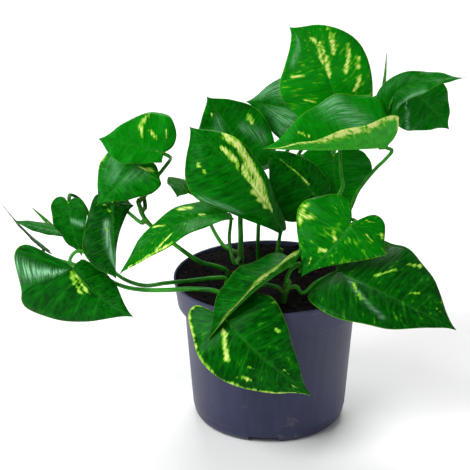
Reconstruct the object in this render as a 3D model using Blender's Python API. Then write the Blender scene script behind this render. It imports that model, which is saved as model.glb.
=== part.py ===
"""Potted golden pothos: a nursery pot, its soil, the rooted vines and the heart-shaped leaves.

World frame: the origin is on the floor, on the axis of the pot. +Z is up and -Y is the front.
Sizes are in millimetres and turned into metres when a mesh is made.
"""

import math

import bpy
import numpy as np

MM = 0.001

# The pot: a tapered shell with a deep lip, standing on a flat base with drainage channels
POT_HEIGHT = 93.8
RIM_RADIUS = 60.0
RIM_EDGE = 0.5
LIP_FOOT_RADIUS = 57.4
LIP_DEPTH = 18.0
LIP_EDGE = 0.8
WALL_TOP_RADIUS = 53.2
WALL_FILLET = 1.0
# The outline near the rim and the foot: small steps in and up that shape its corners
RIM_TAPER = 0.1
RIM_TAPER_DEPTH = 3.0
LIP_FOOT_RISE = 1.0
LIP_UNDERCUT = 0.2
BASE_RADIUS = 47.4
BASE_ROUNDING = 5.0
BASE_CORNER_STEP = 0.5
WALL = 1.4
FLOOR = 1.6
POT_SEGMENTS = 48
CHANNEL_WIDTH = 18.5
CHANNEL_HEIGHT = 4.0
CHANNEL_START_RADIUS = 18.0
CHANNEL_ROOF_END = 45.0
# The channels' walls rise towards their outer end, so that they stay inside the rounded foot
CHANNEL_HEEL_START = 40.9
CHANNEL_HEEL_HEIGHT = 2.6
CHANNEL_FIRST_ANGLE = -95.0
CHANNEL_COUNT = 4
DRAIN_RADIUS = 4.0
DRAIN_DISTANCE = 31.0
PAST = 1.0

# The soil: a plug that keeps a small gap to the pot and to the vines
GAP = 0.3
SOIL_LEVEL = 92.3
SOIL_EDGE_DROP = 0.8
SOIL_ROUGHNESS = 1.2
SOIL_SEGMENTS = 32
SOIL_RINGS = (9.0, 19.0, 29.0, 38.0, 46.0, 53.0)
# How much more than the gap the plug stays clear of the pot where its facets and corners need it
SOIL_EASE = 0.4
HOLE_TOP = 5.0
SOIL_SEED = 7
HOLE_SIDES = 12

# The vines, the petioles and the rolled young leaves
STEM_SIDES = 8
VINE_END_SHARE = 0.8
PETIOLE_SIDES = 6
PETIOLE_ROOT_RADIUS = 1.35
PETIOLE_END_RADIUS = 1.0
PETIOLE_STEPS = 9
# How much a petiole leans on along its vine, and the share of its way that it first goes straight
PETIOLE_LEAN = 0.35
PETIOLE_START = 0.12
# Where it bends under the blade: steps back and down to its knee, and to its end under the midrib
KNEE_BACK = 5.0
KNEE_DROP = 3.5
BASE_DROP = 0.95
END_AHEAD = 4.5
END_DROP = 0.85
SPROUT_START = 3.0
SPROUT_STEPS = 14
# The swelling of a rolled leaf: (share of its length, radius)
SPROUT_SWELLING = ((0.0, 1.2), (0.5, 0.9), (0.62, 1.5), (0.78, 1.3), (1.0, 0.3))

# The blades
BLADE_THICKNESS = 0.7
BLADE_ROWS = 10
BLADE_COLUMNS = 3
# A side vein starts behind the point of the margin that it reaches, and bends towards the tip
VEIN_START = 0.02
VEIN_CLOSING = 0.93
VEIN_SLANT = 0.10
VEIN_BEND = 1.25
# Rows that start this near the base start at its one point
BASE_MERGE = 0.04
BEND_STEPS = (np.arange(12) + 0.5) / 12
# The margin's waves: radians along the blade, how far they reach inwards, how they fade at its ends
WAVES = 6 * math.pi
WAVE_SHIFT = 0.9
WAVE_REACH = 2.2
WAVE_FADE_TIP = 4.0
WAVE_FADE_BASE = 5.0
# Half of a heart-shaped blade, from the notch at its base to its tip: (along the midrib, across)
HALF_OUTLINE = (
    (0.0, 0.0), (-0.07, 0.10), (-0.135, 0.30), (-0.125, 0.58), (-0.03, 0.84), (0.13, 0.99),
    (0.33, 0.96), (0.53, 0.76), (0.71, 0.47), (0.84, 0.21), (0.93, 0.065), (1.0, 0.0),
)

LEAF_GREEN = (0.03, 0.26, 0.03)
YOUNG_GREEN = (0.10, 0.36, 0.05)
STEM_GREEN = (0.12, 0.30, 0.07)
SOIL_BROWN = (0.02, 0.014, 0.01)
POT_GREY_BLUE = (0.09, 0.09, 0.14)


def clear_scene():
    for old in list(bpy.data.objects):
        bpy.data.objects.remove(old, do_unlink=True)


def plain_material(name, colour, roughness):
    material = bpy.data.materials.new(name)
    material.use_nodes = True
    shader = material.node_tree.nodes["Principled BSDF"]
    shader.inputs["Base Color"].default_value = (*colour, 1.0)
    shader.inputs["Roughness"].default_value = roughness
    shader.inputs["Metallic"].default_value = 0.0
    return material


def add_object(name, points, faces):
    """Make one object from points in millimetres and faces given as corner numbers."""
    mesh = bpy.data.meshes.new(name)
    mesh.from_pydata([tuple(np.asarray(point, dtype=float) * MM) for point in points], [], faces)
    mesh.validate()
    node = bpy.data.objects.new(name, mesh)
    bpy.context.scene.collection.objects.link(node)
    return node


def finish(node, material, smooth_angle):
    """Give the node its one material, and smooth shading that keeps edges over the angle sharp."""
    node.data.materials.clear()
    node.data.materials.append(material)
    node.data.shade_smooth()
    node.data.set_sharp_from_angle(angle=math.radians(smooth_angle))


def combine(node, others, operation):
    """Join or cut with Boolean modifiers, apply them, and remove the helper objects."""
    for other in others:
        modifier = node.modifiers.new(operation.title(), "BOOLEAN")
        modifier.operation = operation
        modifier.solver = "EXACT"
        modifier.object = other
        graph = bpy.context.evaluated_depsgraph_get()
        mesh = bpy.data.meshes.new_from_object(node.evaluated_get(graph))
        node.modifiers.clear()
        node.data = mesh
        bpy.data.objects.remove(other, do_unlink=True)


def unit(vector):
    vector = np.asarray(vector, dtype=float)
    return vector / np.linalg.norm(vector)


# Turned and straight solids


def turned(name, profile, segments):
    """Turn a profile of (radius, height) corners that starts on the axis above and ends on it below."""
    points = []
    faces = []
    rings = []
    for radius, height in profile:
        if radius < 1e-6:
            rings.append([len(points)] * segments)
            points.append((0.0, 0.0, height))
            continue
        rings.append(list(range(len(points), len(points) + segments)))
        for step in range(segments):
            angle = 2 * math.pi * step / segments
            points.append((radius * math.cos(angle), radius * math.sin(angle), height))
    for upper, lower in zip(rings, rings[1:]):
        for step in range(segments):
            following = (step + 1) % segments
            corners = (upper[step], lower[step], lower[following], upper[following])
            corners = list(dict.fromkeys(corners))
            if len(corners) > 2:
                faces.append(corners)
    return add_object(name, points, faces)


def bar(profile, half_width, turn):
    """A bar along a ray from the axis, at an angle in degrees. Its side has (distance, height) corners,
    listed outward along its underside and back along its top."""
    angle = math.radians(turn)
    points = []
    for side in (-half_width, half_width):
        for distance, height in profile:
            turned_x = distance * math.cos(angle) - side * math.sin(angle)
            turned_y = distance * math.sin(angle) + side * math.cos(angle)
            points.append((turned_x, turned_y, height))
    count = len(profile)
    faces = [tuple(range(count)), tuple(reversed(range(count, 2 * count)))]
    for corner in range(count):
        following = (corner + 1) % count
        faces.append((following, corner, corner + count, following + count))
    return add_object("bar", points, faces)


def upright_cylinder(centre, radius, low, high, sides=16):
    cylinder = turned("cylinder", ((0.0, high), (radius, high), (radius, low), (0.0, low)), sides)
    cylinder.location = (centre[0] * MM, centre[1] * MM, 0.0)
    bpy.context.view_layer.update()
    return cylinder


# The pot


def wall_radius(height):
    """The outer radius of the tapered wall below the lip."""
    return BASE_RADIUS + (WALL_TOP_RADIUS - BASE_RADIUS) * height / (POT_HEIGHT - LIP_DEPTH)


def channel_angles():
    return [CHANNEL_FIRST_ANGLE + 360.0 / CHANNEL_COUNT * step for step in range(CHANNEL_COUNT)]


def wall_outline(inset, bottom):
    """The wall's (radius, height) corners from the lip down to a level bottom, set in by inset."""
    lip_foot = POT_HEIGHT - LIP_DEPTH + inset
    knuckle = BASE_ROUNDING * 1.6
    return [
        (RIM_RADIUS - inset - RIM_TAPER, POT_HEIGHT - RIM_TAPER_DEPTH),
        (LIP_FOOT_RADIUS - inset, lip_foot + LIP_FOOT_RISE),
        (LIP_FOOT_RADIUS - inset - LIP_EDGE, lip_foot),
        (wall_radius(lip_foot) - inset + LIP_UNDERCUT, lip_foot),
        (wall_radius(lip_foot - WALL_FILLET) - inset, lip_foot - WALL_FILLET),
        (wall_radius(knuckle) - inset, knuckle),
        (wall_radius(BASE_ROUNDING) - inset - BASE_CORNER_STEP, BASE_ROUNDING * 0.8),
        (BASE_RADIUS - inset - BASE_ROUNDING * 0.3, max(BASE_ROUNDING * 0.3, bottom + 0.2)),
        (BASE_RADIUS - inset - BASE_ROUNDING, bottom),
        (0.0, bottom),
    ]


def make_pot():
    rim = [(0.0, POT_HEIGHT), (RIM_RADIUS - RIM_EDGE, POT_HEIGHT), (RIM_RADIUS, POT_HEIGHT - RIM_EDGE)]
    pot = turned("pot", rim + wall_outline(0.0, 0.0), POT_SEGMENTS)
    mouth = [(0.0, POT_HEIGHT + PAST), (RIM_RADIUS - WALL, POT_HEIGHT + PAST)]
    combine(pot, [turned("cavity", mouth + wall_outline(WALL, FLOOR), POT_SEGMENTS)], "DIFFERENCE")
    roofs = []
    channels = []
    drains = []
    half = CHANNEL_WIDTH / 2
    for angle in channel_angles():
        roof = [(CHANNEL_START_RADIUS - FLOOR, 0.0), (CHANNEL_HEEL_START, 0.0),
                (CHANNEL_ROOF_END, CHANNEL_HEEL_HEIGHT), (CHANNEL_ROOF_END, CHANNEL_HEIGHT + FLOOR),
                (CHANNEL_START_RADIUS - FLOOR, CHANNEL_HEIGHT + FLOOR)]
        roofs.append(bar(roof, half + FLOOR, angle))
        opening = [(CHANNEL_START_RADIUS, -PAST), (RIM_RADIUS, -PAST),
                   (RIM_RADIUS, CHANNEL_HEIGHT), (CHANNEL_START_RADIUS, CHANNEL_HEIGHT)]
        channels.append(bar(opening, half, angle))
        turn = math.radians(angle)
        centre = (DRAIN_DISTANCE * math.cos(turn), DRAIN_DISTANCE * math.sin(turn))
        drains.append(upright_cylinder(centre, DRAIN_RADIUS, -PAST, CHANNEL_HEIGHT + FLOOR + PAST))
    combine(pot, roofs, "UNION")
    combine(pot, channels, "DIFFERENCE")
    combine(pot, drains, "DIFFERENCE")
    finish(pot, plain_material("pot plastic", POT_GREY_BLUE, 0.45), 30)


# Curves


def smooth_curve(points, count):
    """Points at equal steps along a smooth curve through the given points."""
    points = np.asarray(points, dtype=float)
    padded = np.vstack([2 * points[0] - points[1], points, 2 * points[-1] - points[-2]])
    fine = []
    for start in range(len(points) - 1):
        before, first, second, after = padded[start:start + 4]
        for part in np.arange(0.0, 1.0, 0.05):
            fine.append(0.5 * (2 * first + (second - before) * part
                               + (2 * before - 5 * first + 4 * second - after) * part ** 2
                               + (3 * first - before - 3 * second + after) * part ** 3))
    fine.append(points[-1])
    return even_steps(np.array(fine), count)


def even_steps(line, count):
    steps = np.linalg.norm(np.diff(line, axis=0), axis=1)
    travelled = np.concatenate([[0.0], np.cumsum(steps)])
    wanted = np.linspace(0.0, travelled[-1], count)
    return np.stack([np.interp(wanted, travelled, line[:, axis]) for axis in range(line.shape[1])], axis=-1)


def tube(name, path, radii, sides):
    """A closed tube along a path, with its own radius at each point and flat ends."""
    path = np.asarray(path, dtype=float)
    tangents = np.gradient(path, axis=0)
    across = unit(np.cross(tangents[0], (0.31, 0.17, 0.94) if abs(unit(tangents[0])[2]) < 0.9 else (1, 0, 0)))
    points = []
    for centre, tangent, radius in zip(path, tangents, radii):
        tangent = unit(tangent)
        across = unit(across - tangent * (across @ tangent))
        other = np.cross(tangent, across)
        for step in range(sides):
            angle = 2 * math.pi * step / sides
            points.append(centre + radius * (math.cos(angle) * across + math.sin(angle) * other))
    faces = []
    for ring in range(len(path) - 1):
        for step in range(sides):
            following = (step + 1) % sides
            faces.append((ring * sides + step, ring * sides + following,
                          (ring + 1) * sides + following, (ring + 1) * sides + step))
    faces.append(tuple(reversed(range(sides))))
    faces.append(tuple(range((len(path) - 1) * sides, len(path) * sides)))
    return add_object(name, points, faces)


# Leaves


def aim(azimuth, elevation):
    """The direction that a blade's upper side faces: azimuth 0 is the front, 90 is the right."""
    turn = math.radians(azimuth)
    rise = math.radians(elevation)
    return np.array([math.sin(turn) * math.cos(rise), -math.cos(turn) * math.cos(rise), math.sin(rise)])


class Blade:
    """A heart-shaped blade bent along its midrib.

    base, middle and tip are points of the midrib, and faces is the way that the upper side looks at
    the base. Pairs of values are for the left and the right half, seen from above with the tip ahead:
    share scales a half's width, fold lifts it at the midrib, curl bends it on towards its margin,
    belly under 1 moves its widest part towards the tip, taper narrows it at the base, lobes
    lengthens its lobe behind the petiole, and full under 1 rounds that lobe out. twist turns the
    blade about its midrib by the tip.
    """

    def __init__(self, base, middle, tip, faces, wide, share=(1, 1), fold=(5, 5), curl=(-20, -20),
                 belly=(1, 1), taper=(0, 0), lobes=(1, 1), full=(1, 1), twist=0, wave=1.0):
        base, middle, tip = (np.array(point, dtype=float) for point in (base, middle, tip))
        handle = 2 * middle - 0.5 * (base + tip)
        part = np.linspace(0.0, 1.0, 60)[:, None]
        self.line = (1 - part) ** 2 * base + 2 * part * (1 - part) * handle + part ** 2 * tip
        steps = np.linalg.norm(np.diff(self.line, axis=0), axis=1)
        travelled = np.concatenate([[0.0], np.cumsum(steps)])
        self.length = travelled[-1]
        self.along = travelled / self.length
        tangents = np.gradient(self.line, axis=0)
        self.tangents = tangents / np.linalg.norm(tangents, axis=1)[:, None]
        normal = aim(*faces)
        normals = []
        for tangent in self.tangents:
            normal = unit(normal - tangent * (normal @ tangent))
            normals.append(normal)
        normals = np.array(normals)
        sides = np.cross(self.tangents, normals)
        turn = np.radians(twist) * self.along[:, None]
        self.normals = normals * np.cos(turn) + sides * np.sin(turn)
        self.sides = np.cross(self.tangents, self.normals)
        self.wide = wide
        self.share, self.fold, self.curl = share, fold, curl
        self.belly, self.taper, self.lobes, self.full, self.wave = belly, taper, lobes, full, wave

    def read(self, values, along):
        along = np.clip(along, 0.0, 1.0)
        return np.stack([np.interp(along, self.along, values[:, axis]) for axis in range(3)], axis=-1)

    def margin(self, hand, rows):
        """Points of one half's outline in even steps: (along the midrib, across as a share)."""
        shaped = []
        for along, across in HALF_OUTLINE:
            if along < 0:
                along = along * self.lobes[hand]
                across = across ** self.full[hand]
            else:
                along = along ** self.belly[hand]
            narrow = 1 - self.taper[hand] * (1 - max(along, 0.0)) ** 1.5
            shaped.append((along, across * narrow))
        shape = np.array([1.0, 0.5 * self.wide / self.length])
        fine = smooth_curve(np.array(shaped) * shape, rows + 1)
        return fine / shape

    def half(self, hand, rows, columns):
        """A grid of points from the midrib (column 0) to the margin, one row for each side vein."""
        margin = self.margin(hand, rows)
        along, across = margin[:, 0], margin[:, 1]
        foot = np.clip((along - VEIN_START) * VEIN_CLOSING - VEIN_SLANT * across, 0.0, 1.0)
        foot[foot < BASE_MERGE] = 0.0
        foot[-1] = 1.0
        foot = np.maximum.accumulate(foot)
        part = np.linspace(0.0, 1.0, columns + 1)[None, :]
        u = foot[:, None] + (along - foot)[:, None] * part ** VEIN_BEND
        reach = across[:, None] * 0.5 * self.wide * self.share[hand] * part
        part = np.broadcast_to(part, u.shape)
        angle = np.radians(self.fold[hand]) + np.radians(self.curl[hand]) * part[..., None] * BEND_STEPS
        out = np.cos(angle).mean(axis=-1) * reach * (1 if hand else -1)
        up = np.sin(angle).mean(axis=-1) * reach
        fade = np.clip((1 - u) * WAVE_FADE_TIP, 0, 1) * np.clip(1 + WAVE_FADE_BASE * u, 0, 1)
        ripple = self.wave * part ** WAVE_REACH * np.sin(WAVES * u + WAVE_SHIFT * hand) * fade
        behind = (np.minimum(u, 0.0) * self.length)[..., None] * self.tangents[0]
        return (self.read(self.line, u) + behind + self.read(self.sides, u) * out[..., None]
                + self.read(self.normals, u) * (up + ripple)[..., None])

    def surface(self, rows, columns):
        """The blade as one sheet: its points, its triangles, and its margin as a closed loop."""
        points = [self.line[0], self.line[-1]]
        halves = [self.half(hand, rows, columns) for hand in (0, 1)]
        numbers = []
        for hand, grid in enumerate(halves):
            table = np.zeros((rows + 1, columns + 1), dtype=int)
            for row in range(rows + 1):
                for column in range(columns + 1):
                    here = grid[row, column]
                    if row == rows:
                        table[row, column] = 1
                    elif hand and column == 0:
                        table[row, column] = numbers[0][row, 0]
                    elif row == 0 or np.linalg.norm(here - points[0]) < 0.01:
                        table[row, column] = 0
                    else:
                        table[row, column] = len(points)
                        points.append(here)
            numbers.append(table)
        triangles = []
        for hand, table in enumerate(numbers):
            for row in range(rows):
                for column in range(columns):
                    a, b = table[row, column], table[row + 1, column]
                    c, d = table[row + 1, column + 1], table[row, column + 1]
                    for corners in ((a, b, c), (a, c, d)):
                        if len(set(corners)) == 3:
                            triangles.append(corners if hand == 0 else corners[::-1])
        loop = list(numbers[1][:-1, columns]) + list(numbers[0][:0:-1, columns])
        return np.array(points), triangles, [int(number) for number in loop]


def thick_sheet(name, points, triangles, loop, thickness):
    """Close a sheet into a solid of even thickness, split alike on both faces."""
    normals = np.zeros_like(points)
    for corners in triangles:
        a, b, c = (points[number] for number in corners)
        across = np.cross(b - a, c - a)
        for number in corners:
            normals[number] += across
    normals /= np.linalg.norm(normals, axis=1)[:, None]
    count = len(points)
    both = np.vstack([points + normals * thickness / 2, points - normals * thickness / 2])
    faces = [tuple(int(number) for number in corners) for corners in triangles]
    faces += [tuple(int(number) + count for number in reversed(corners)) for corners in triangles]
    for first, second in zip(loop, loop[1:] + loop[:1]):
        faces.append((first, first + count, second + count))
        faces.append((first, second + count, second))
    return add_object(name, both, faces)


def petiole_path(root, grow, blade, via):
    """The petiole's centre line: from its root in a smooth bow to the underside of the blade's base."""
    ahead, normal, base = blade.tangents[0], blade.normals[0], blade.line[0]
    knee = base - KNEE_BACK * ahead - KNEE_DROP * normal
    reach = np.linalg.norm(knee - root)
    start = [root, root + np.array(grow) * reach * PETIOLE_START]
    middle = [np.array(point, dtype=float) for point in via]
    line = smooth_curve(start + middle + [knee, base - BASE_DROP * normal], PETIOLE_STEPS)
    return np.vstack([line, base + END_AHEAD * ahead - END_DROP * normal])


def make_leaf(name, root, grow, blade, material, via=()):
    points, triangles, loop = blade.surface(BLADE_ROWS, BLADE_COLUMNS)
    node = thick_sheet(name, points, triangles, loop, BLADE_THICKNESS)
    path = petiole_path(np.array(root, dtype=float), grow, blade, via)
    radii = np.linspace(PETIOLE_ROOT_RADIUS, PETIOLE_END_RADIUS, len(path))
    combine(node, [tube("petiole", path, radii, PETIOLE_SIDES)], "UNION")
    finish(node, material, 60)


# Where the vines stand and how they run, from the buried end to the tip: points and two radii
VINES = {
    "vine_left_low": (
        ((-29, -34, 76), (-29, -34, 84), (-29, -34, 93), (-30, -34, 96), (-37, -33, 98), (-50, -29, 97),
         (-63, -27, 95.5), (-78, -21, 93), (-92, -11, 91.5), (-106, -2, 95.5), (-118, 1, 104)), (1.6, 1.2)),
    "vine_left_middle": (
        ((-27, -9, 76), (-27, -9, 84), (-27, -9, 93), (-28, -9.5, 96), (-36, -12, 97), (-50, -15, 96.5),
         (-64, -16, 95.5), (-78, -14, 93), (-92, -2, 93), (-103, 9, 99), (-111, 15, 108)), (1.5, 1.1)),
    "vine_left_high": (
        ((-26, 3, 76), (-26, 3, 84), (-26, 3, 93), (-27, 3, 96), (-33, 2, 99), (-44, 1, 103),
         (-58, 2, 113), (-76, 2, 129), (-82, 4, 143)), (1.6, 1.2)),
    "vine_middle": (
        ((-17, 3, 76), (-17, 3, 84), (-17, 3, 93), (-18, 6, 103), (-18, 10, 116), (-18, 13, 130),
         (-14, 17, 145)), (1.8, 1.5)),
    "vine_back": (
        ((-7, 28, 76), (-7, 28, 92), (-7, 28, 108), (-6, 29, 122), (-1, 31, 135), (6, 32, 147)), (1.3, 1.2)),
    "vine_centre": (
        ((3, 4, 76), (3, 4, 84), (3, 4, 93), (5, 2, 103), (7, 0, 112)), (1.8, 1.5)),
    "vine_right": (
        ((20, 10, 76), (20, 10, 92), (24, 9, 106), (31, 7, 123), (39, 5, 137)), (2.2, 1.8)),
    "vine_right_back": (
        ((32, 30, 76), (32, 30, 92), (34, 33, 108), (39, 38, 132), (43, 40, 157)), (2.0, 1.6)),
    "vine_front": (
        ((8, -38, 76), (8, -38, 84), (8, -38, 93), (9, -38, 99), (11, -37, 106)), (2.0, 1.7)),
}

# Each leaf: the vine it grows from and how far along, its petiole's way, and its blade
LEAVES = {
    "leaf_top": ("vine_right", 0.97, ((44, 0, 151), (43, 1, 165)), dict(
        base=(42, 10, 188), middle=(33, 13, 224), tip=(11, 6, 253), faces=(0, 30), wide=62,
        share=(1.45, 1), fold=(8, 8), curl=(-25, -25), belly=(0.9, 0.6), taper=(0.55, 0.3))),
    "leaf_top_behind": ("vine_back", 0.95, ((20, 36, 164),), dict(
        base=(30, 38, 184), middle=(9, 42, 190), tip=(-15, 42, 194), faces=(-30, 40), wide=46,
        share=(1, 1.25))),
    "leaf_upper_left": ("vine_middle", 0.95, (), dict(
        base=(-14, 20, 162), middle=(-26, 24, 183), tip=(-39, 22, 204), faces=(-15, 35), wide=56,
        share=(0.85, 0.82), belly=(0.75, 0.7))),
    "leaf_folded_right": ("vine_right", 0.86, ((49, -3, 139), (54, -4, 152), (63, -5, 165), (70, -6, 173)), dict(
        base=(70, -8, 182), middle=(32, -20, 184), tip=(-5, -20, 185), faces=(-5, 75), wide=70,
        share=(0.78, 1), fold=(75, 50), curl=(-5, -15), belly=(1.9, 0.8), lobes=(0.3, 0.5))),
    "leaf_arching_right": ("vine_right_back", 0.94, ((50, 38, 164), (58, 29, 186)), dict(
        base=(73, 8, 197), middle=(82, 10, 214), tip=(118, 0, 223), faces=(0, 15), wide=32,
        share=(0.6, 0.8), fold=(10, 10), taper=(0, 0.6), lobes=(1, 0.2), twist=-75)),
    "leaf_hanging_right": ("vine_right_back", 0.88, ((43, 46, 165), (52, 44, 186), (74, 36, 203)), dict(
        base=(89, 26, 205), middle=(101, 29, 193), tip=(112, 32, 179), faces=(0, 20), wide=40,
        share=(0.85, 1.1), curl=(-10, -10), lobes=(0.2, 1))),
    "leaf_large": ("vine_centre", 0.90, (), dict(
        base=(7, -12, 130), middle=(-16, -20, 166), tip=(-49, -12, 196), faces=(10, 50), wide=70,
        share=(1.13, 0.58), curl=(-50, -20), belly=(0.4, 0.5), taper=(0.9, 0.75), lobes=(0.3, 0.3),
        twist=-25)),
    "leaf_middle": ("vine_right", 0.62, (), dict(
        base=(29, 12, 141), middle=(12, 14, 161), tip=(-5, 16, 172), faces=(10, 30), wide=54,
        share=(1, 0.5), lobes=(1, 0.3))),
    "leaf_shaded": ("vine_right_back", 0.80, ((37, 36, 150), (38, 37, 164)), dict(
        base=(40, 30, 162), middle=(42, 27, 144), tip=(50, 22, 127), faces=(10, 20), wide=46,
        share=(1.1, 1), belly=(0.8, 1))),
    "leaf_front_right": ("vine_centre", 0.80, ((34, -8, 134),), dict(
        base=(48, -30, 139), middle=(35, -38, 126), tip=(18, -46, 112), faces=(10, 40), wide=64,
        share=(0.88, 1), belly=(2.6, 1), lobes=(2.5, 2.0))),
    "leaf_low_right": ("vine_front", 0.85, ((20, -38, 98), (28, -35, 104)), dict(
        base=(41, -30, 109), middle=(69, -46, 101), tip=(113, -46, 77), faces=(15, 45), wide=62,
        share=(1.25, 0.98), fold=(8, 8), belly=(0.6, 1.2), lobes=(1, 0.4))),
    "leaf_front": ("vine_front", 0.75, ((-6, -40, 104), (-20, -54, 102)), dict(
        base=(-26, -66, 91), middle=(-5, -76, 72), tip=(25, -70, 44), faces=(-5, 30), wide=58,
        share=(1.05, 0.95), belly=(1.3, 1.15), lobes=(1.5, 2.2))),
    "leaf_folded_front": ("vine_front", 0.97, ((12, -38, 113),), dict(
        base=(14, -40, 119), middle=(-13, -62, 107), tip=(-38, -72, 82), faces=(-10, 75), wide=54,
        share=(0.55, 1), fold=(70, 5), curl=(-10, -10), belly=(1, 0.75), taper=(0, 0.4), lobes=(0.2, 0.2))),
    "leaf_arching_left": ("vine_middle", 0.36, ((-22, -12, 107), (-25, -12, 122)), dict(
        base=(-27, -10, 139), middle=(-62, -27, 136), tip=(-92, -38, 110), faces=(-20, 50), wide=48,
        share=(0.82, 0.5), fold=(35, 5), belly=(0.6, 1), taper=(0.5, 0), lobes=(0.1, 0.2))),
    "leaf_left_high": ("vine_left_high", 0.99, ((-72, 12, 152), (-62, 14, 165)), dict(
        base=(-66, 0, 175), middle=(-86, 0, 181), tip=(-105, 0, 184), faces=(-5, 35), wide=47,
        share=(0.65, 1.05), belly=(0.5, 1.15), taper=(0.5, 0), lobes=(0.2, 1))),
    "leaf_left_second": ("vine_left_high", 0.92, ((-80, 14, 152),), dict(
        base=(-84, 8, 165), middle=(-95, 0, 153), tip=(-107, -8, 143), faces=(-10, 30), wide=44,
        share=(1, 0.85), belly=(1.6, 1), lobes=(1.5, 1))),
    "leaf_left_hanging": ("vine_left_high", 0.84, (), dict(
        base=(-98, 10, 138), middle=(-97, -8, 121), tip=(-94, -30, 104), faces=(10, 30), wide=38,
        share=(0.74, 1.1), belly=(4, 0.45), taper=(0, 0.3))),
    "leaf_left_small": ("vine_left_middle", 0.96, ((-116, 18, 134),), dict(
        base=(-125, 10, 138), middle=(-123, 8, 122), tip=(-117, 6, 104), faces=(-20, 10), wide=26,
        share=(0.85, 1), lobes=(0.8, 0.8))),
    "leaf_left_edge": ("vine_left_low", 0.96, (), dict(
        base=(-141, 10, 109), middle=(-154, 7, 123), tip=(-166, 3, 141), faces=(107, 38), wide=14,
        fold=(0, 0), curl=(-10, -10), wave=0.2)),
    "leaf_left_narrow": ("vine_left_middle", 0.90, ((-123, 22, 110),), dict(
        base=(-131, 19, 116), middle=(-146, 20, 119), tip=(-161, 20, 123), faces=(0, 70), wide=10,
        fold=(0, 0), curl=(-10, -10), belly=(0.7, 0.7), wave=0.2)),
    "leaf_far_left": ("vine_left_low", 0.86, ((-110, -5, 109), (-119, -7, 113)), dict(
        base=(-121, -14, 105), middle=(-105, -20, 88), tip=(-84, -28, 78), faces=(-25, 40), wide=80,
        share=(0.5, 1.06), fold=(0, 0), curl=(-40, -25), belly=(1, 1.9), taper=(0.5, 0),
        lobes=(0.2, 4.2), full=(1, 0.7))),
    "leaf_back_left": ("vine_middle", 0.42, ((-30, 14, 110), (-37, 22, 120)), dict(
        base=(-41, 34, 137), middle=(-50, 45, 139), tip=(-59, 55, 125), faces=(-150, 45), wide=40)),
    "leaf_back_middle": ("vine_back", 0.85, (), dict(
        base=(4, 50, 150), middle=(6, 72, 146), tip=(4, 92, 128), faces=(180, 50), wide=48)),
    "leaf_back_right": ("vine_back", 0.75, (), dict(
        base=(24, 54, 140), middle=(36, 70, 133), tip=(46, 84, 112), faces=(150, 45), wide=44)),
    "leaf_back_high": ("vine_back", 0.92, ((14, 42, 166),), dict(
        base=(22, 56, 176), middle=(18, 70, 180), tip=(8, 86, 170), faces=(170, 60), wide=44)),
}

# Young leaves that are still rolled into a spike: the vine, how far along, and the spike's line
SPROUTS = {
    "sprout_right": ("vine_right_back", 0.99, ((45, 41, 170), (54, 36, 187), (68, 26, 200), (70, 22, 214),
                                             (71, 21, 232))),
    "sprout_left": ("vine_left_middle", 0.99, ((-123, 28, 108), (-134, 30, 112), (-150, 28, 129))),
}


def vine_line(name, count=60):
    return smooth_curve(VINES[name][0], count)


def growing_point(vine, share, towards, radius):
    """Where a petiole starts beside its vine, and the direction it sets out in."""
    line = vine_line(vine)
    index = int(round(share * (len(line) - 1)))
    tangent = unit(np.gradient(line, axis=0)[index])
    away = np.array(towards, dtype=float) - line[index]
    away = unit(away - tangent * (away @ tangent))
    grow = unit(away + PETIOLE_LEAN * tangent)
    thick = np.interp(share, (0.0, 1.0), VINES[vine][1])
    slope = grow @ tangent
    stand_off = (thick + GAP + radius * slope) / math.sqrt(1 - slope ** 2)
    return line[index] + grow * stand_off, grow


def make_vine(name, material):
    points, (thick, thin) = VINES[name]
    line = smooth_curve(points, 3 * len(points))
    radii = np.linspace(thick, thin, len(line))
    radii[-1] = thin * VINE_END_SHARE
    finish(tube(name, line, radii, STEM_SIDES), material, 50)


def make_sprout(name, material):
    vine, share, way = SPROUTS[name]
    root, grow = growing_point(vine, share, way[0], PETIOLE_ROOT_RADIUS)
    line = smooth_curve([root, root + grow * SPROUT_START, *way], SPROUT_STEPS)
    shares, radii = zip(*SPROUT_SWELLING)
    swelling = np.interp(np.linspace(0, 1, SPROUT_STEPS), shares, radii)
    finish(tube(name, line, swelling, PETIOLE_SIDES), material, 50)


# The soil


def soil_rings():
    """The soil's rings of (radius, height) from the middle of its top, out and down to its bottom."""
    lip_foot = POT_HEIGHT - LIP_DEPTH + WALL
    knuckle = BASE_ROUNDING * 1.6
    play = WALL + GAP
    top = [(radius, SOIL_LEVEL) for radius in SOIL_RINGS]
    return top + [
        (RIM_RADIUS - play - SOIL_EASE, SOIL_LEVEL - SOIL_EDGE_DROP),
        (LIP_FOOT_RADIUS - play - LIP_EDGE, lip_foot + LIP_FOOT_RISE + GAP),
        (wall_radius(lip_foot) - play - SOIL_EASE, lip_foot + GAP),
        (wall_radius(knuckle) - play, knuckle),
        (BASE_RADIUS - BASE_ROUNDING - PAST, CHANNEL_HEIGHT + FLOOR + GAP),
    ]


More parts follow.
